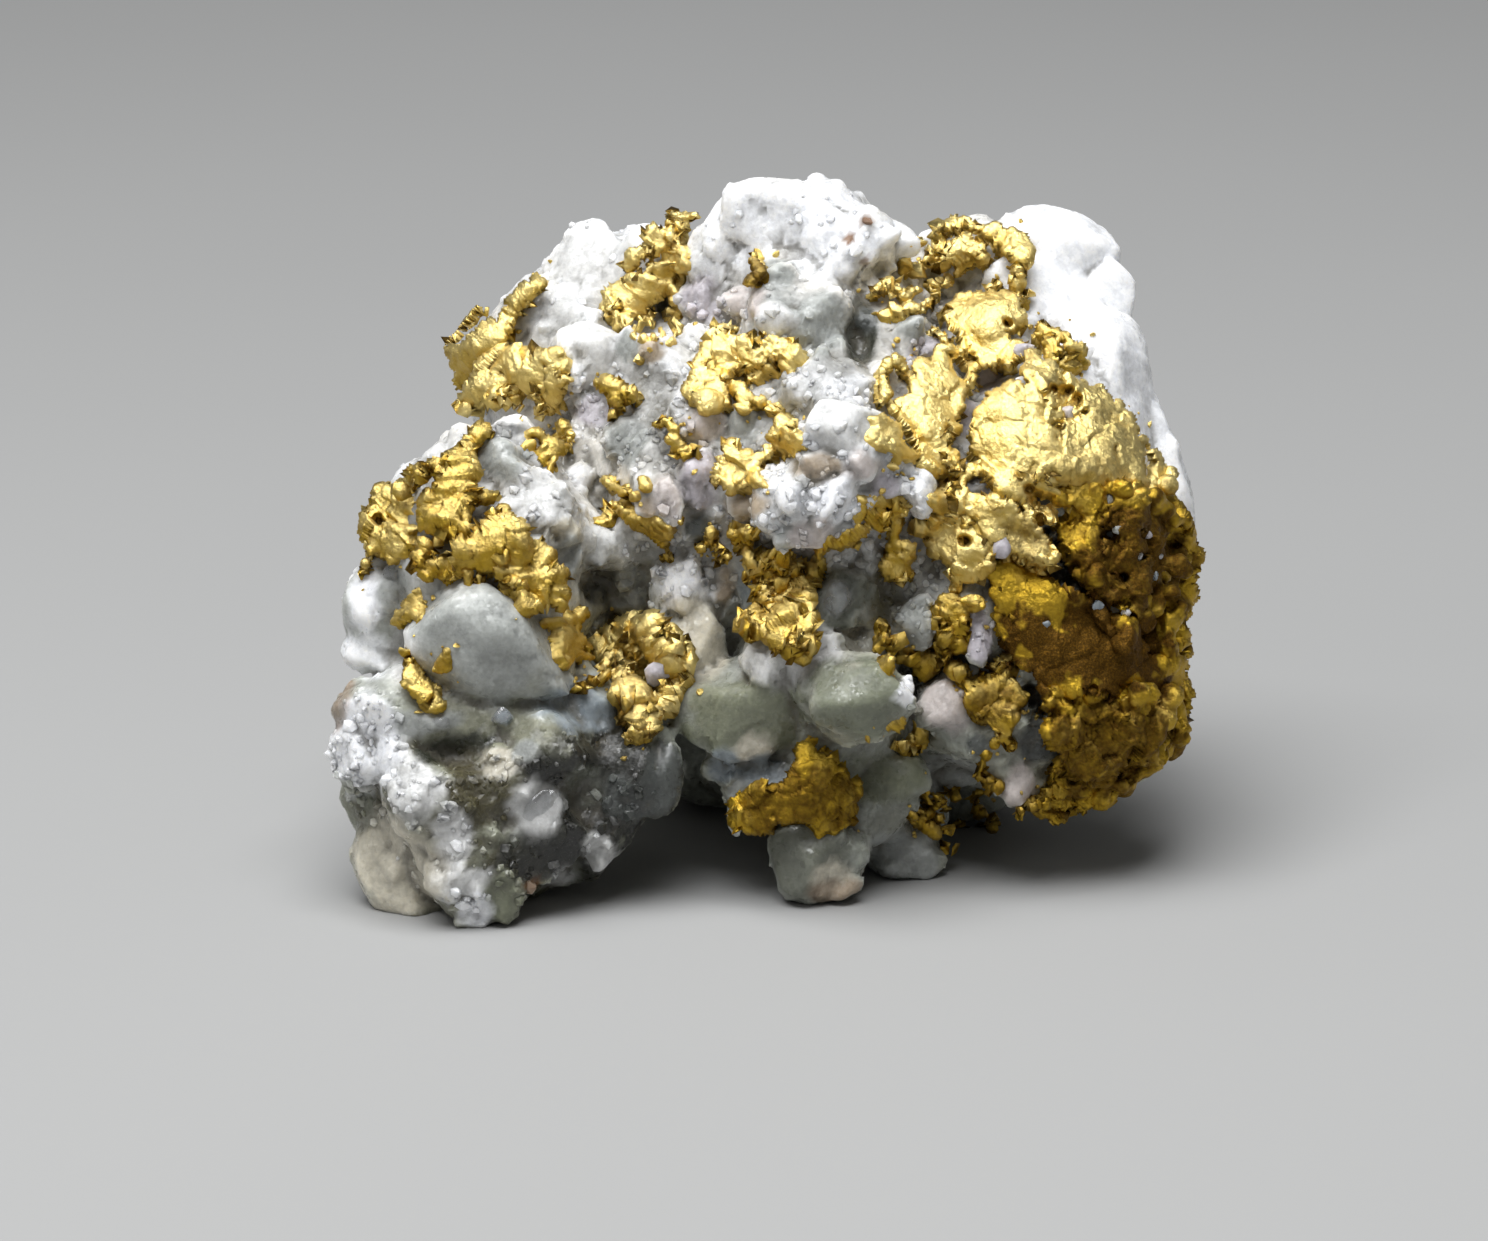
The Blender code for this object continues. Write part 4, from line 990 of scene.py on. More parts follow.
def cut_bodies(centres, axes, flatness, grid, facets=14):
    """Bodies cut by random flat faces: r(w) = (sum of (max(n.w, 0) / d)^p)^(-1/p) over their faces n at
    distances d from the middle, with p the flatness, stretched by each body's three half axes."""
    directions, faces = grid
    count = len(centres)
    step = np.arange(facets) + 0.5
    polar = np.arccos(1 - 2 * step / facets)
    turn = step * 2.39996
    even = np.stack((np.sin(polar) * np.cos(turn), np.sin(polar) * np.sin(turn), np.cos(polar)), axis=1)
    normals = even[None] + rng.normal(0, 0.22, (count, facets, 3))
    normals /= np.linalg.norm(normals, axis=2, keepdims=True)
    distances = rng.uniform(0.62, 1.0, (count, facets, 1))
    reach = np.maximum(np.einsum("nfk,dk->nfd", normals, directions), 1e-6) / distances
    radius = (reach**flatness).sum(axis=1) ** (-1 / flatness)
    points = centres[:, None] + np.einsum("nd,dk,nkj->ndj", radius, directions, axes)
    offset = np.arange(count)[:, None, None] * len(directions)
    return points.reshape(-1, 3), (faces[None] + offset).reshape(-1, 3)


def turned_axes(count):
    """Random turns, as three unit vectors at right angles for each body."""
    axes, _ = np.linalg.qr(rng.normal(0, 1, (count, 3, 3)))
    return axes * np.linalg.det(axes)[:, None, None]


def view_axes(half_width, half_height, depth, roll):
    """Half axes of a body that faces the camera, turned by roll in the view."""
    turn = math.radians(roll)
    along = RIGHT * math.cos(turn) - UP * math.sin(turn)
    over = RIGHT * math.sin(turn) + UP * math.cos(turn)
    return np.stack((along * half_width, over * half_height, -AWAY * depth)) / PER_MM


def named_grains(tree, rows, flatness, grid=ball_grid(18, 26)):
    """The grains of these rows, each seated in the lump with its front about as far out as its row says.
    Its half axes are longer than the row's, because the cuts take some off."""
    centres, axes = [], []
    for across, down, half_width, half_height, roll, proud in rows:
        far = struck(tree, across, down)
        if far is None:
            continue
        depth = 0.75 * min(half_width, half_height) + 0.15 * max(half_width, half_height)
        centres.append(EYE + sight(across, down) * (far + (depth - OUTWARD * proud) / PER_MM))
        axes.append(view_axes(half_width * WIDER, half_height * WIDER, depth * DEEPER, roll))
    return cut_bodies(np.array(centres), np.array(axes), flatness, grid)


# ---- Quartz ----


def worn_lump():
    """The lump's skin: the solid smoothed, with four sizes of swells, each half the size before it."""
    points, faces = fused([cad_solid("quartz")], BASE_VOXEL)
    points = smoothed(points, faces, 6)
    swell = SWELL_HEIGHT * layered(points, SWELL, 4, salt=3)
    return points + normals_of(points, faces) * swell[:, None], faces


def grown_crystals(points, faces, count, low, high, salt):
    """Small crystals over the parts of the skin where a slow pattern is high."""
    places, normals = scattered(points, faces, count)
    keep = noise(places, 2.2, salt) + 0.5 * noise(places, 0.9, salt + 1) > -0.1
    keep &= places[:, 2] > 0.25
    places, normals = places[keep], normals[keep]
    size = rng.uniform(low, high, len(places))
    axes = turned_axes(len(places)) * (size[:, None, None] * rng.uniform(0.75, 1.3, (len(places), 3, 1)))
    centres = places - normals * (0.45 * size)[:, None]
    return cut_bodies(centres, axes, 24.0, ball_grid(7, 10), facets=11)


def covered(points, depth, tree, place, wobble, edge=(1.12, 0.88)):
    """0 to 1: how much of this turned ellipse of the view lies on each point, near the surface that is in
    front there."""
    far = struck(tree, place[0], place[1])
    if far is None:
        return np.zeros(len(points))
    near = eased(np.abs(depth - far), *SAME_FACE)
    return eased(ring_gap(points, place) + wobble, *edge) * near


def calm_of(points, tree):
    """1 on the smooth grains and 0 elsewhere."""
    _, _, depth = in_view(points)
    calm = np.zeros(len(points))
    for grain in GRAINS:
        if grain[7] == "smooth":
            calm = np.maximum(calm, covered(points, depth, tree, grain[:5], 0.0, (1.1, 0.8)))
    return calm


def quartz_skin():
    """The whole lump: worn skin, named grains, and small crystals between them, grown into one."""
    lump = worn_lump()
    tree = tree_of(*lump)
    smooth = [grain[:6] for grain in GRAINS if grain[7] == "smooth"]
    sharp = [grain[:6] for grain in GRAINS if grain[7] == "sharp"]
    parts = [
        lump,
        named_grains(tree, smooth, 16.0),
        named_grains(tree, sharp, 40.0),
        *(grown_crystals(*lump, *row) for row in GROWN),
    ]
    points, faces = fused(parts, QUARTZ_VOXEL)
    normals = normals_of(smoothed(points, faces, 2), faces)
    relief = relief_of(points, FRACTURES) * (1 - 0.6 * calm_of(points, tree_of(points, faces)))
    points = points + normals * relief[:, None]
    facing = eased(-(normals @ AWAY), 0, 0.4)
    points = points + AWAY * (CRACK_DEPTH * grooved(points) * facing)[:, None]
    points[:, 2] = np.maximum(points[:, 2], 0)
    return thinned(points, faces, LUMP_TRIANGLES)


def stained(points, tree, rows, reach, colour, stain):
    """Colour and stain once these stains and the painted shade among them lie over them; each has a ragged
    edge.
    """
    _, _, depth = in_view(points)
    ragged = 0.4 * layered(points, 0.3, 2, 47)
    blotch = eased(layered(points, 0.5, 4, 53), -0.15, 0.6)
    for *place, strength, kind in rows:
        share = covered(points, depth, tree, place, ragged, (1.3, 0.7)) * reach * strength
        share = np.clip(share * (0.9 + 0.5 * blotch), 0, 0.97)
        colour = colour * (1 - share[:, None]) + np.array(STAIN_COLOURS[kind]) * share[:, None]
        stain = np.maximum(stain, share)
    return colour, stain


def bare_colour(points, toward):
    """Colour of the quartz under its grains and stains: pale, with slow swells and a tone for each cell,
    warmer in places, darker low down for painted shade and dirt, and darker on the left foot for its own
    darker colour and painted shade."""
    slow = noise(points, 2.4, 31)[:, None]
    middle = layered(points, 0.9, 3, 37)[:, None]
    tag = hashed(nearest_cell(points, 0.55, 41)[0], 44)[:, None]
    colour = BARE + 0.10 * slow + 0.05 * middle + 0.10 * (tag - 0.5)
    warm = eased(noise(points, 1.7, 43), -0.2, 0.7)[:, None]
    colour = colour * (1 - 0.5 * warm * (1 - WARM))
    # painted shade and dirt: the quartz is painted darker low down
    low = eased(points[:, 2], 7.5, 3.0)[:, None]
    colour = colour * (1 - low * LOW_SHADE_AND_DIRT_LOSS)
    # the left foot is painted darker, for its own darker colour and as painted shade
    foot = (eased(ring_gap(points, LEFT_FOOT), 1.25, 0.85) * toward)[:, None]
    return colour * (1 - foot * FOOT_TONE_AND_SHADE_LOSS)


def mottling(points, toward):
    """How much olive dirt lies on each point: a little anywhere, and more in the mottled parts."""
    stain = eased(layered(points, 1.1, 4, 59), 0.55, 1.1) * 0.5
    mottle = eased(layered(points, 0.4, 4, 53), 0.0, 0.5)
    for *place, strength in MOTTLES:
        share = eased(ring_gap(points, place), 1.1, 0.7) * toward * strength * mottle * 0.85
        stain = np.maximum(stain, share)
    return stain


def quartz_colours(points, normals, tree):
    """Colour and stain of points on the quartz, where its surface faces these ways, with painted shade low
    down, on the left foot and in dark hollows. Each grain's own colour lies over all stains but rust."""
    _, _, depth = in_view(points)
    toward = eased(-(normals @ AWAY), -0.15, 0.25)
    stain = mottling(points, toward)
    colour = bare_colour(points, toward) * (1 - stain[:, None])
    colour = colour + np.array(STAIN_COLOURS["olive"]) * stain[:, None]
    early = [row for row in STAINS if row[6] != "rust"]
    colour, stain = stained(points, tree, early, toward, colour, stain)
    wobble = 0.3 * layered(points, 0.35, 2, 47)
    shade = 1 + 0.12 * layered(points, 0.9, 3, 37)[:, None]
    for *place, _, tint, _ in GRAINS:
        share = covered(points, depth, tree, place, wobble, (1.25, 0.8)) * toward
        colour = colour * (1 - share[:, None]) + np.array(TINTS[tint]) * shade * share[:, None]
        stain = stain * (1 - share)
    late = [row for row in STAINS if row[6] == "rust"]
    colour, stain = stained(points, tree, late, toward, colour, stain)
    return np.clip(colour, 0.015, 0.95), stain


def prism():
    """A quartz crystal of half width 1: a six-sided prism with a point at each end."""
    turn = np.arange(6) * math.pi / 3
    rings = [np.column_stack((np.cos(turn), np.sin(turn), np.full(6, height))) for height in (0.45, -0.45)]
    here, side = np.arange(6), (np.arange(6) + 1) % 6
    top, bottom = np.full(6, 12), np.full(6, 13)
    ends = (top, here, side), (bottom, side + 6, here + 6)
    walls = (here + 6, side + 6, side), (here + 6, side, here)
    faces = np.concatenate([np.column_stack(three) for three in ends + walls])
    return np.concatenate((*rings, ((0, 0, 1.2), (0, 0, -1.2)))), faces


def crystal_seats(points, faces, tree, count):
    """Places on the sugary parts, with the normals there."""
    places, normals = scattered(points, faces, count)
    toward = eased(-(normals @ AWAY), -0.1, 0.2)
    thick = 0.35 * eased(noise(places, 2.0, 101), 0.0, 0.6) * (1 - toward)
    for *place, density in SUGARY:
        thick = np.maximum(thick, eased(ring_gap(places, place), 1.1, 0.7) * toward * density)
    thick = thick * (1 - 0.8 * calm_of(places, tree)) * eased(noise(places, 0.8, 103), -0.7, 0.1)
    keep = (thick > rng.random(count)) & (places[:, 2] > 0.3)
    return places[keep], normals[keep]


def loose_crystals(points, faces, tree, count, low, high):
    """Crystals grown over the sugary parts: prisms of 24 triangles with their corners moved a little, half
    sunk; gives points, triangles, colour and stain."""
    places, normals = crystal_seats(points, faces, tree, count)
    number = len(places)
    shape, triangles = prism()
    size = low + (high - low) * rng.random(number) ** 2
    axes = turned_axes(number) * size[:, None, None] * rng.uniform(0.7, 1.25, (number, 3, 1))
    corners = shape[None] * rng.uniform(0.78, 1.22, (number, len(shape), 3))
    centres = places - normals * (0.4 * size)[:, None]
    made = (centres[:, None] + np.einsum("nvk,nkj->nvj", corners, axes)).reshape(-1, 3)
    made[:, 2] = np.maximum(made[:, 2], 0)
    offset = np.arange(number)[:, None, None] * len(shape)
    colour, stain = quartz_colours(places, normals, tree)
    # each crystal's tone varies at random, and about one in seven gets a painted glint
    tone_and_glint = rng.random(number)[:, None]
    colour = np.clip(colour * (0.9 + 0.3 * tone_and_glint) + 0.10 * (tone_and_glint > 0.85), 0, 0.95)
    colour, stain = np.repeat(colour, len(shape), axis=0), np.repeat(stain, len(shape))
    return made, (triangles[None] + offset).reshape(-1, 3), colour, stain


def stored(name, points, faces, slot, material, smooth_limit=None, **attributes):
    """A finished piece in metres, with its attributes, riding on the lump's one body. Edges sharper than
    the limit, in degrees, stay sharp."""
    piece = new_object(name, points * MM, faces)
    for key, values in attributes.items():
        if values.ndim == 2:
            values = np.concatenate((values, np.ones((len(values), 1))), axis=1)
            attribute = piece.data.attributes.new(key, "FLOAT_COLOR", "POINT")
            attribute.data.foreach_set("color", values.ravel())
        else:
            attribute = piece.data.attributes.new(key, "FLOAT", "POINT")
            attribute.data.foreach_set("value", values)
    piece.data.shade_smooth()
    if smooth_limit is not None:
        piece.data.set_sharp_from_angle(angle=math.radians(smooth_limit))
    piece.data.materials.append(material)
    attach(piece, "root")
    return piece


# ---- Gold ----


def bridged(rows):
    """The rows and one more lump between any two that nearly touch, which turns beads into a sheet."""
    rows = np.array(rows, dtype=float)
    first, second = np.triu_indices(len(rows), 1)
    gap = np.hypot(*(rows[first, :2] - rows[second, :2]).T)
    close = gap < GOLD_REACH * (rows[first, 2] + rows[second, 2])
    between = (rows[first[close]] + rows[second[close]]) / 2
    return np.concatenate((rows, between * (1, 1, 0.92)))


def filled(outline, step=9.0, half=8.0):
    """Lumps in rows, half a step aside from row to row, over the inside of an outline: a place is inside
    where a line from it to the right crosses the outline an odd number of times."""
    corners = np.array(outline, dtype=float)
    low, high = corners.min(axis=0), corners.max(axis=0)
    lines = np.arange(low[1], high[1], step * 0.87), np.arange(low[0], high[0], step)
    down, across = np.meshgrid(*lines, indexing="ij")
    across[::2] += step / 2
    across, down = across.ravel()[:, None], down.ravel()[:, None]
    (x0, y0), (x1, y1) = corners.T, np.roll(corners, -1, axis=0).T
    between = (y0 > down) != (y1 > down)
    slope = np.where(y1 == y0, 1e-9, y1 - y0)
    crossing = x0 + (down - y0) * (x1 - x0) / slope > across
    inner = (between & crossing).sum(axis=1) % 2 == 1
    places = np.column_stack((across, down))[inner]
    places = places + rng.normal(0, 1.2, places.shape)
    return np.column_stack((places, half * rng.uniform(0.8, 1.15, len(places))))


def depth_map(points):
    """The least distance from the camera in each cell of the view; infinite in a cell with no points."""
    across, down, depth = in_view(points)
    nearest = np.full((int(VIEW_HEIGHT / CELL) + 1, int(VIEW_WIDTH / CELL) + 1), np.inf)
    np.minimum.at(nearest, ((down / CELL).astype(int), (across / CELL).astype(int)), depth)
    return nearest


def around(grid):
    """The nine values round each cell of a map."""
    return np.stack([np.roll(grid, (i, j), axis=(0, 1)) for i in (-1, 0, 1) for j in (-1, 0, 1)])


def spread(grid, passes):
    """Empty cells filled from their neighbours' mean, one ring of cells a pass."""
    for _ in range(passes):
        near = around(grid)
        known = np.isfinite(near)
        mean = np.where(known, near, 0).sum(axis=0) / np.maximum(known.sum(axis=0), 1)
        grid = np.where(np.isfinite(grid) | ~known.any(axis=0), grid, mean)
    return grid


def sampled(grid, across, down):
    """The map's value at these places of the view, mixed from the four cells about each."""
    x, y = across / CELL - 0.5, down / CELL - 0.5
    column, row = np.floor(x).astype(int), np.floor(y).astype(int)
    s, t = x - column, y - row
    upper = grid[row, column] * (1 - s) + grid[row, column + 1] * s
    lower = grid[row + 1, column] * (1 - s) + grid[row + 1, column + 1] * s
    return upper * (1 - t) + lower * t


def ground_map(points):
    """Distance of the quartz from the camera: nearest in three cells by three, then smoothed."""
    ground = spread(around(spread(depth_map(points), 1)).min(axis=0), 12)
    ground = np.where(np.isfinite(ground), ground, DISTANCE + 5)
    for _ in range(3):
        ground = around(ground).mean(axis=0)
    return ground


def lift_map(name, ground):
    """How far a solid's front stands out of the quartz, up to MOST_LIFT, smoothed."""
    solid = cad_solid(name)
    places, _ = scattered(*solid, int(area_of(*solid) / MAP_AREA))
    front = spread(depth_map(places), 3)
    lift = np.where(np.isfinite(front), np.clip(ground - front, 0, MOST_LIFT), 0)
    for _ in range(4):
        lift = around(lift).mean(axis=0)
    return lift


def on_sight(across, down, depth):
    """The place at this distance along each line of sight."""
    scale = depth / (PER_MM * DISTANCE)
    points = EYE + AWAY * depth[:, None] + RIGHT * ((across - VIEW_WIDTH / 2) * scale)[:, None]
    return points + UP * ((VIEW_HEIGHT / 2 - down) * scale)[:, None]


def net_round(rows):
    """Across and down of the places of a net round these lumps, and its squares."""
    low, high = rows[:, :2].min(axis=0) - NET_MARGIN, rows[:, :2].max(axis=0) + NET_MARGIN
    lines = np.arange(low[1], high[1], NET), np.arange(low[0], high[0], NET)
    down, across = np.meshgrid(*lines, indexing="ij")
    number = np.arange(across.size).reshape(across.shape)
    squares = np.stack((number[:-1, :-1], number[1:, :-1], number[1:, 1:], number[:-1, 1:]), axis=-1)
    return across.ravel(), down.ravel(), squares.reshape(-1, 4)


def halved(squares):
    """Each square as two triangles."""
    return np.concatenate((squares[:, :3], squares[:, [0, 2, 3]]))


def inward_of(across, down, rows):
    """How far each place lies inside the outline of these lumps, in units of the view."""
    inward = np.full(across.size, -99.0)
    for middle, level, half in rows:
        inward = np.maximum(inward, half * GOLD_REACH - np.hypot(across - middle, down - level))
    return inward


def crumpled(points):
    """Heights of beaten gold: slopes that change from cell to cell at three sizes, creases and a few pits."""
    cell, _, gap = nearest_cell(points, 0.2, 83)
    pit = np.where(hashed(cell, 86) > 0.8, eased(gap, 0.4, 0.1), 0)
    return relief_of(points, CRUMPLES) + (0.02 * ridged(points, 0.4, 67) - 0.05 * pit)


def leaf(rows, ground, lift, proud, roughness):
    """The seen side of a mass of gold. On a net over the view, each place has its way in from the ragged
    edge of the lumps; from there the sheet rises off the quartz, by the lift and a little more, and is
    crumpled along its normals. Its edge dips into the quartz, and it is left off where the quartz turns
    almost edge on."""
    across, down, squares = net_round(rows)
    depth = sampled(ground, across, down)
    bed = on_sight(across, down, depth)
    inward = inward_of(across, down, rows)
    inward += 2.2 * noise(bed, 0.28, 63) + 1.6 * noise(bed, 0.12, 64)
    rise = eased(inward, 0, 4)
    sheet = on_sight(across, down, depth - rise * sampled(lift, across, down))
    out = rise * (proud + 0.04 * np.sqrt(np.clip(inward / 9, 0, 1)) + roughness * crumpled(sheet))
    out = out - 0.05 * (1 - rise) - 0.04 * np.clip(-inward, 0, 3)
    points = sheet + normals_of(sheet, halved(squares)) * out[:, None]
    points = points + AWAY * (GROOVE_DEPTH * grooved(sheet))[:, None]
    drop = np.ptp(in_view(sheet)[2][squares], axis=1)
    kept = (inward[squares] > -EDGE).all(axis=1) & (drop < STEEPEST * NET / PER_MM)
    squares = squares[kept]
    used, faces = np.unique(halved(squares), return_inverse=True)
    return modified(points[used], faces.reshape(-1, 3), "SOLIDIFY", thickness=GOLD_SHEET, offset=-1.0)


def far_seats(name, quartz_tree):
    """Middles and half axes of gold lumps on the parts of a solid that the camera doesn't see."""
    solid = cad_solid(name)
    places, normals = scattered(*solid, int(area_of(*solid) / SEAT_AREA))
    across, down, _ = in_view(places)
    wanted = ((across > WRAP[0]) & (down > WRAP[1])) | name.startswith("gold_back")
    wanted &= (normals @ AWAY > -0.05) & (noise(places, 0.7, 61) > -0.45)
    wanted &= np.array([not inside(quartz_tree, place) for place in places])
    places, normals = places[wanted], normals[wanted]
    size = rng.uniform(0.16, 0.27, len(places))
    return places - normals * (0.6 * size)[:, None], turned_axes(len(places)) * size[:, None, None]


def inside(tree, place):
    """Whether the nearest surface faces away from this place, and lies some way off."""
    near, normal, _, gap = tree.find_nearest(Vector(place))
    return near is not None and gap > 0.06 and (Vector(place) - near).dot(normal) < 0


def hammered(centres, axes):
    """Lumps of gold fused, smoothed and roughened."""
    lumps = cut_bodies(centres, axes, 5.0, ball_grid(9, 14))
    points, faces = fused([lumps], GOLD_VOXEL)
    points = smoothed(points, faces, 7)
    relief = 0.02 * ridged(points, 0.45, 67) + 0.2 * broken(points, 0.5, 73)
    relief += 0.05 * broken(points, 0.2, 77)
    return points + normals_of(points, faces) * relief[:, None], faces


def gold_piece(name, quartz_tree, ground):
    """One mass of gold: its seen side as a beaten sheet, and the rest as lumps."""
    rows = [bridged(GOLD[name])] if name in GOLD else []
    rows += [filled(outline) for outline in SHEETS.get(name, ())]
    parts = []
    if rows:
        proud, roughness = PROUD.get(name, USUAL_PROUD), ROUGHNESS.get(name, 1.0)
        parts.append(leaf(np.concatenate(rows), ground, lift_map(name, ground), proud, roughness))
    centres, axes = far_seats(name, quartz_tree)
    if len(centres):
        parts.append(hammered(centres, axes))
    points, faces = joined(parts)
    points[:, 2] = np.maximum(points[:, 2], 0.02)
    return points, faces


def grooved(points):
    """1 in the middle of the cracks and holes of the gold, and 0 from their edges on."""
    across, down, _ = in_view(points)
    deepest = np.zeros(len(points))
    for x, y, half in GROOVES:
        deepest = np.maximum(deepest, eased(np.hypot(across - x, down - y) / half, 1.25, 0.5))
    return deepest


def flecks(quartz_tree, count, low, high):
    """Tiny flecks of gold on the quartz round the larger masses, as points and triangles."""
    rows = np.concatenate([np.array(rows) for rows in GOLD.values()])
    rows = rows[rng.choice(len(rows), count)]
    turn = rng.uniform(0, 2 * np.pi, count)
    reach = GOLD_REACH * rows[:, 2] + rng.uniform(3, 18, count)
    places = rows[:, :2] + reach[:, None] * np.column_stack((np.cos(turn), np.sin(turn)))
    far = [struck(quartz_tree, *place) for place in places]
    seats = [EYE + sight(*place) * depth for place, depth in zip(places, far) if depth is not None]
    size = rng.uniform(low, high, len(seats))
    axes = turned_axes(len(seats)) * size[:, None, None] * rng.uniform(0.6, 1.5, (len(seats), 3, 1))
    return cut_bodies(np.array(seats), axes, 8.0, ball_grid(5, 8), facets=9)


def gold_stain(points):
    """How much brown iron stain lies on each point of the gold."""
    stain = 0.3 * eased(layered(points, 0.5, 3, 91), 0.35, 1.0)
    wobble = 0.5 * layered(points, 0.3, 3, 97)
    for across, down, half_width, half_height, strength in GOLD_STAINS:
        gap = ring_gap(points, (across, down, half_width, half_height, 0))
        stain = np.maximum(stain, strength * eased(gap + wobble, 1.2, 0.6))
    return stain


# ---- Shading ----


class Number:
    """A socket that gives a number; arithmetic on it adds Math nodes."""

    def __init__(self, finish, socket):
        self.finish, self.socket = finish, socket

    def math(self, operation, first, second):
        """A Math node's output."""
        return self.finish.add("ShaderNodeMath", {"operation": operation}, {0: first, 1: second})

    def __add__(self, other):
        return self.math("ADD", self, other)

    def __radd__(self, other):
        return self.math("ADD", other, self)

    def __sub__(self, other):
        return self.math("SUBTRACT", self, other)

    def __rsub__(self, other):
        return self.math("SUBTRACT", other, self)

    def __mul__(self, other):
        return self.math("MULTIPLY", self, other)

    def __rmul__(self, other):
        return self.math("MULTIPLY", other, self)

    def __truediv__(self, other):
        return self.math("DIVIDE", self, other)


class Finish:
    """A material in the making."""

    def __init__(self, name):
        self.material = bpy.data.materials.new(name)
        self.material.use_nodes = True
        self.tree = self.material.node_tree
        self.tree.nodes.clear()
        self.place = self.add("ShaderNodeTexCoord", out="Object")

    def add(self, kind, settings=None, sockets=None, out=0):
        """A node of this kind, with its settings, then its sockets' values or links; gives one output."""
        node = self.tree.nodes.new(kind)
        for key, value in (settings or {}).items():
            setattr(node, key, value)
        by_id = {socket.identifier: socket for socket in node.inputs}
        for key, value in (sockets or {}).items():
            socket = by_id[key] if key in by_id else node.inputs[key]
            if isinstance(value, Number):
                self.tree.links.new(value.socket, socket)
            else:
                socket.default_value = value
        if not node.outputs:
            return node
        made = {socket.identifier: socket for socket in node.outputs}
        return Number(self, made[out] if out in made else node.outputs[out])

    def noise(self, size, detail=3.0, roughness=0.55):
        """Noise from 0 to 1 with features of this many millimetres."""
        sockets = {"Vector": self.place, "Scale": 1 / (size * MM), "Detail": detail, "Roughness": roughness}
        return self.add("ShaderNodeTexNoise", None, sockets)

    def cells(self, size, feature="F1", out="Distance"):
        """Cells of this many millimetres."""
        sockets = {"Vector": self.place, "Scale": 1 / (size * MM)}
        return self.add("ShaderNodeTexVoronoi", {"feature": feature}, sockets, out)

    def facets(self, size):
        """A height that slopes its own way in each cell, as broken crystal faces do."""
        scale = 1 / (size * MM)
        centre = self.cells(size, out="Position")
        tilt = self.cells(size, out="Color")
        minus, dot = {"operation": "SUBTRACT"}, {"operation": "DOT_PRODUCT"}
        spread = self.add("ShaderNodeVectorMath", minus, {0: tilt, 1: (0.5, 0.5, 0.5)})
        offset = self.add("ShaderNodeVectorMath", minus, {0: self.place, 1: centre})
        return self.add("ShaderNodeVectorMath", dot, {0: offset, 1: spread}, "Value") * scale

    def attribute(self, name, out="Fac"):
        """A value stored on the piece."""
        return self.add("ShaderNodeAttribute", {"attribute_name": name}, None, out)

    def ramp(self, value, low, high, start=0.0, end=1.0):
        """start up to low and end from high, eased between them."""
        sockets = {"Value": value, "From Min": low, "From Max": high, "To Min": start, "To Max": end}
        return self.add("ShaderNodeMapRange", {"interpolation_type": "SMOOTHSTEP"}, sockets)

    def mix(self, factor, first, second, blend="MIX"):
        """Two colours mixed."""
        first = first if isinstance(first, Number) else (*first, 1.0)
        second = second if isinstance(second, Number) else (*second, 1.0)
        sockets = {"Factor_Float": factor, "A_Color": first, "B_Color": second}
        return self.add("ShaderNodeMix", {"data_type": "RGBA", "blend_type": blend}, sockets, "Result_Color")

    def bump(self, height, strength, distance, normal=None):
        """A normal from this height; distance is in millimetres."""
        sockets = {"Height": height, "Strength": strength, "Distance": distance * MM}
        if normal is not None:
            sockets["Normal"] = normal
        return self.add("ShaderNodeBump", None, sockets)

    def finished(self, sockets):
        """Ends the material with one Principled shader."""
        shader = self.add("ShaderNodeBsdfPrincipled", None, sockets)
        self.add("ShaderNodeOutputMaterial", None, {"Surface": shader})
        return self.material


def milky_quartz():
    """Cloudy white mineral: light goes some way in, broken faces glitter, raised parts get a painted
    highlight, and dirt with painted shade sits in its hollows.
    """
    finish = Finish("milky quartz")
    hollow = finish.attribute("hollow")
    clean = 1.0 - finish.attribute("stain")
    calm = finish.attribute("calm")
    speckle = finish.noise(0.11, 4.0)
    grain = finish.noise(0.035, 2.0)
    # brighter specks, and a painted highlight on raised parts where the hollow value is low
    specks_and_bump_highlight = 1.0 + finish.ramp(speckle, 0.35, 0.7) * clean * 0.22 + finish.ramp(hollow, 0.42, 0.15) * clean * 0.3
    base = finish.mix(1.0, finish.attribute("tint", "Color"), specks_and_bump_highlight, "MULTIPLY")
    base = finish.mix(finish.ramp(grain, 0.6, 0.75) * 0.25, base, QUARTZ_GRIT)
    # dirt and painted shade: the quartz is painted darker in its hollows, in patches
    dirt_and_shade = finish.ramp(hollow, 0.55, 0.9) * finish.ramp(finish.noise(0.5, 4.0), 0.25, 0.55)
    base = finish.mix(dirt_and_shade * 0.75, base, QUARTZ_DIRT_AND_SHADE)
    rough = finish.ramp(finish.cells(0.09, out="Color"), 0.1, 0.45, 0.15, 0.48)
    height = (finish.facets(0.13) + finish.noise(0.09, 4.0) * 0.4) * (1.0 - calm * 0.7)
    normal = finish.bump(height, 0.35, 0.1)
    normal = finish.bump(finish.facets(0.05), 0.35, 0.035, normal)
    return finish.finished(
        {
            "Base Color": base,
            "Roughness": rough,
            "Normal": normal,
            "IOR": 1.54,
            "Subsurface Weight": 0.9,
            "Subsurface Radius": (1.0, 0.98, 0.93),
            "Subsurface Scale": 0.22 * MM,
        }
    )


def clear_quartz():
    """Glassy grains with a little haze."""
    finish = Finish("clear quartz")
    haze = finish.noise(0.2, 3.0)
    return finish.finished(
        {
            "Base Color": finish.mix(haze, (0.90, 0.92, 0.95), (0.99, 0.99, 0.98)),
            "Roughness": finish.ramp(haze, 0.4, 0.7, 0.12, 0.3),
            "Normal": finish.bump(finish.facets(0.2) + haze * 0.4, 0.35, 0.03),
            "IOR": 1.54,
            "Transmission Weight": 0.9,
        }
    )


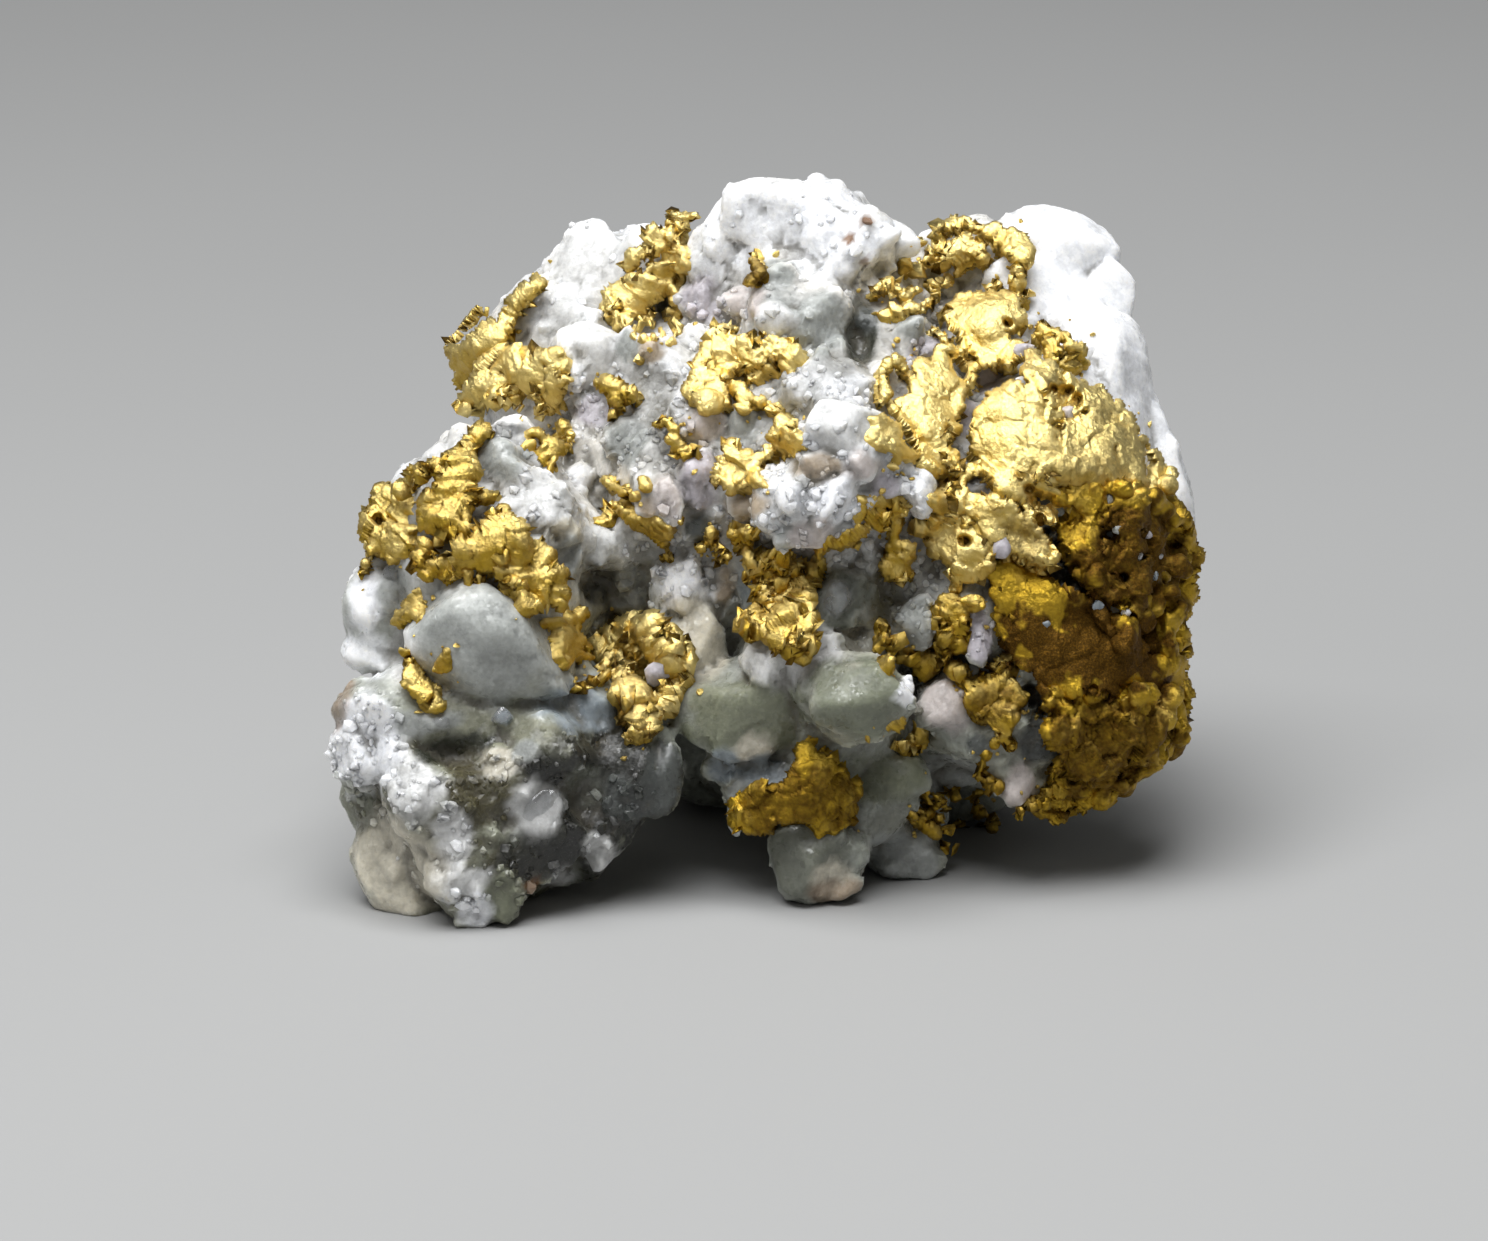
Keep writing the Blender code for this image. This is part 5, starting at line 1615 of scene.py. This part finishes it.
def native_gold():
    """Soft bright metal: deep yellow, painted paler as painted light where it faces up and on the brighter
    masses, brown with iron, and dark with dirt and painted shade in its hollows.
    """
    finish = Finish("native gold")
    hollow = finish.attribute("hollow")
    stain = finish.attribute("stain")
    # painted light: the pale value is higher where the gold faces up and on the brighter masses
    patch = finish.attribute("pale") + finish.noise(0.45, 4.0) * 0.7 - 0.35
    base = finish.mix(finish.ramp(patch, 0.0, 0.9), DEEP_GOLD, PALE_GOLD)
    # dirt and painted shade: the gold is painted darker in its hollows and cracks
    base = finish.mix(finish.ramp(hollow, 0.6, 0.95) * 0.85, base, GOLD_DIRT_AND_SHADE)
    rust = finish.ramp(stain + finish.noise(0.12, 4.0) * 0.7 - 0.35, 0.1, 0.8)
    dust = finish.noise(0.03, 3.0, 0.7)
    brown = finish.mix(finish.ramp(dust, 0.42, 0.72), DARK_RUST, LIGHT_RUST)
    base = finish.mix(rust * 0.92, base, brown)
    rough = finish.ramp(finish.noise(0.2, 4.0), 0.3, 0.7, 0.3, 0.5) + rust * 0.2
    normal = finish.bump(finish.noise(0.07, 5.0, 0.65), 0.5, 0.06)
    normal = finish.bump(finish.facets(0.05) + dust * 0.7, 0.5, 0.03, normal)
    return finish.finished(
        {
            "Base Color": base,
            "Metallic": 1.0 - rust * 0.12,
            "Roughness": rough,
            "Normal": normal,
        }
    )


def pale_floor():
    """Plain pale ground."""
    finish = Finish("pale floor")
    tone = finish.mix(finish.noise(40.0, 2.0), *FLOOR_TONES)
    return finish.finished({"Base Color": tone, "Roughness": 0.8})


# ---- The whole ----


def add_camera():
    """The camera, at the eye, with no shift."""
    data = bpy.data.cameras.new("view")
    data.lens, data.sensor_width = LENS, SENSOR
    data.clip_start, data.clip_end = 0.001, 20.0
    camera = bpy.data.objects.new("view", data)
    camera.location = EYE * MM
    camera.rotation_euler = (math.pi / 2 - LEAN, 0, 0)
    bpy.context.scene.collection.objects.link(camera)
    bpy.context.scene.camera = camera


def add_light(name, place, size, power, colour):
    """A square soft light, in millimetres, that faces the lump."""
    data = bpy.data.lights.new(name, "AREA")
    data.size, data.energy, data.color = size * MM, power, colour
    light = bpy.data.objects.new(name, data)
    light.location = Vector(place) * MM
    light.rotation_euler = (Vector((0, 0, 5)) - Vector(place)).to_track_quat("-Z", "Y").to_euler()
    bpy.context.scene.collection.objects.link(light)


def add_surroundings():
    """Floor, soft lights and a grey room."""
    side = 1500.0
    corners = np.array(((-side, -side, 0), (side, -side, 0), (side, side, 0), (-side, side, 0))) * MM
    floor = new_object("floor", corners, np.array(((0, 1, 2), (0, 2, 3))))
    floor.data.materials.append(pale_floor())
    for row in LIGHTS:
        add_light(*row)
    world = bpy.data.worlds.new("room")
    world.use_nodes = True
    background = world.node_tree.nodes["Background"]
    background.inputs["Color"].default_value = ROOM
    background.inputs["Strength"].default_value = ROOM_STRENGTH
    bpy.context.scene.world = world
    bpy.context.scene.view_settings.view_transform = "Standard"


def add_quartz(milky):
    """The milky lump with its crystals and clear grains; returns its surface for the gold to sit on."""
    points, faces = quartz_skin()
    tree = tree_of(points, faces)
    colour, stain = quartz_colours(points, normals_of(points, faces), tree)
    hollow = np.maximum(hollowness(points, faces, 8, 0.05), hollowness(points, faces, 45, 0.2))
    shades = {"tint": colour, "stain": stain, "hollow": hollow, "calm": calm_of(points, tree)}
    lump = stored("quartz_lump", points, faces, "milky_quartz", milky, 40, **shades)
    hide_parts("quartz")
    crystals, triangles, colour, stain = loose_crystals(points, faces, tree, *LOOSE)
    # a hollow value of 0.3 gives every crystal some of the painted highlight of raised parts
    shades = {"tint": colour, "stain": stain, "hollow": np.full(len(crystals), 0.3)}
    stored("sugar_crystals", crystals, triangles, "milky_quartz", milky, 12, **shades)
    rows = [(*row, 3) for row in CLEAR_GRAINS]
    stored("clear_grains", *named_grains(tree, rows, 14.0), "milky_quartz", clear_quartz(), 25)
    return points, faces


def add_caught_grains(surfaces, milky):
    """Small quartz grains set in the gold."""
    tree = tree_of(*joined(surfaces))
    grid = ball_grid(10, 14)
    parts = [named_grains(tree, [row[:6]], 22.0, grid) for row in CAUGHT]
    tint = np.concatenate([np.tile(TINTS[row[6]], (len(part[0]), 1)) for row, part in zip(CAUGHT, parts)])
    points, faces = joined(parts)
    shades = {"tint": tint, "stain": np.zeros(len(points)), "hollow": np.full(len(points), 0.4)}
    stored("caught_grains", points, faces, "milky_quartz", milky, 30, **shades)


def add_gold(quartz, milky):
    """Every mass of gold, each in the place of its solid, then the grains caught in it and its flecks."""
    quartz_tree, surfaces = tree_of(*quartz), [quartz]
    ground = ground_map(quartz[0])
    finish = native_gold()
    for name in sorted(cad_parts):
        if not name.startswith("gold"):
            continue
        points, faces = gold_piece(name, quartz_tree, ground)
        # painted light: gold that faces up is painted paler, the more so on the brighter masses
        up = eased(normals_of(smoothed(points, faces, 3), faces)[:, 2], -0.2, 0.7)
        pale = PALENESS_AND_LIGHT.get(name, USUAL_PALENESS_AND_LIGHT) * (0.35 + 0.65 * up)
        shades = {"hollow": hollowness(points, faces, 8, 0.03), "stain": gold_stain(points), "pale": pale}
        piece = stored(name + "_seen", points, faces, "native_gold", finish, **shades)
        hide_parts(name)
        surfaces.append((points, faces))
    add_caught_grains(surfaces, milky)
    points, faces = flecks(quartz_tree, *FLECKS)
    even = np.full(len(points), 0.4)
    shades = {"hollow": even, "stain": gold_stain(points), "pale": even}
    stored("gold_flecks", points, faces, "native_gold", finish, 30, **shades)


def add_all():
    """Camera, surroundings, quartz and gold."""
    add_camera()
    add_surroundings()
    milky = milky_quartz()
    add_gold(add_quartz(milky), milky)


add_all()
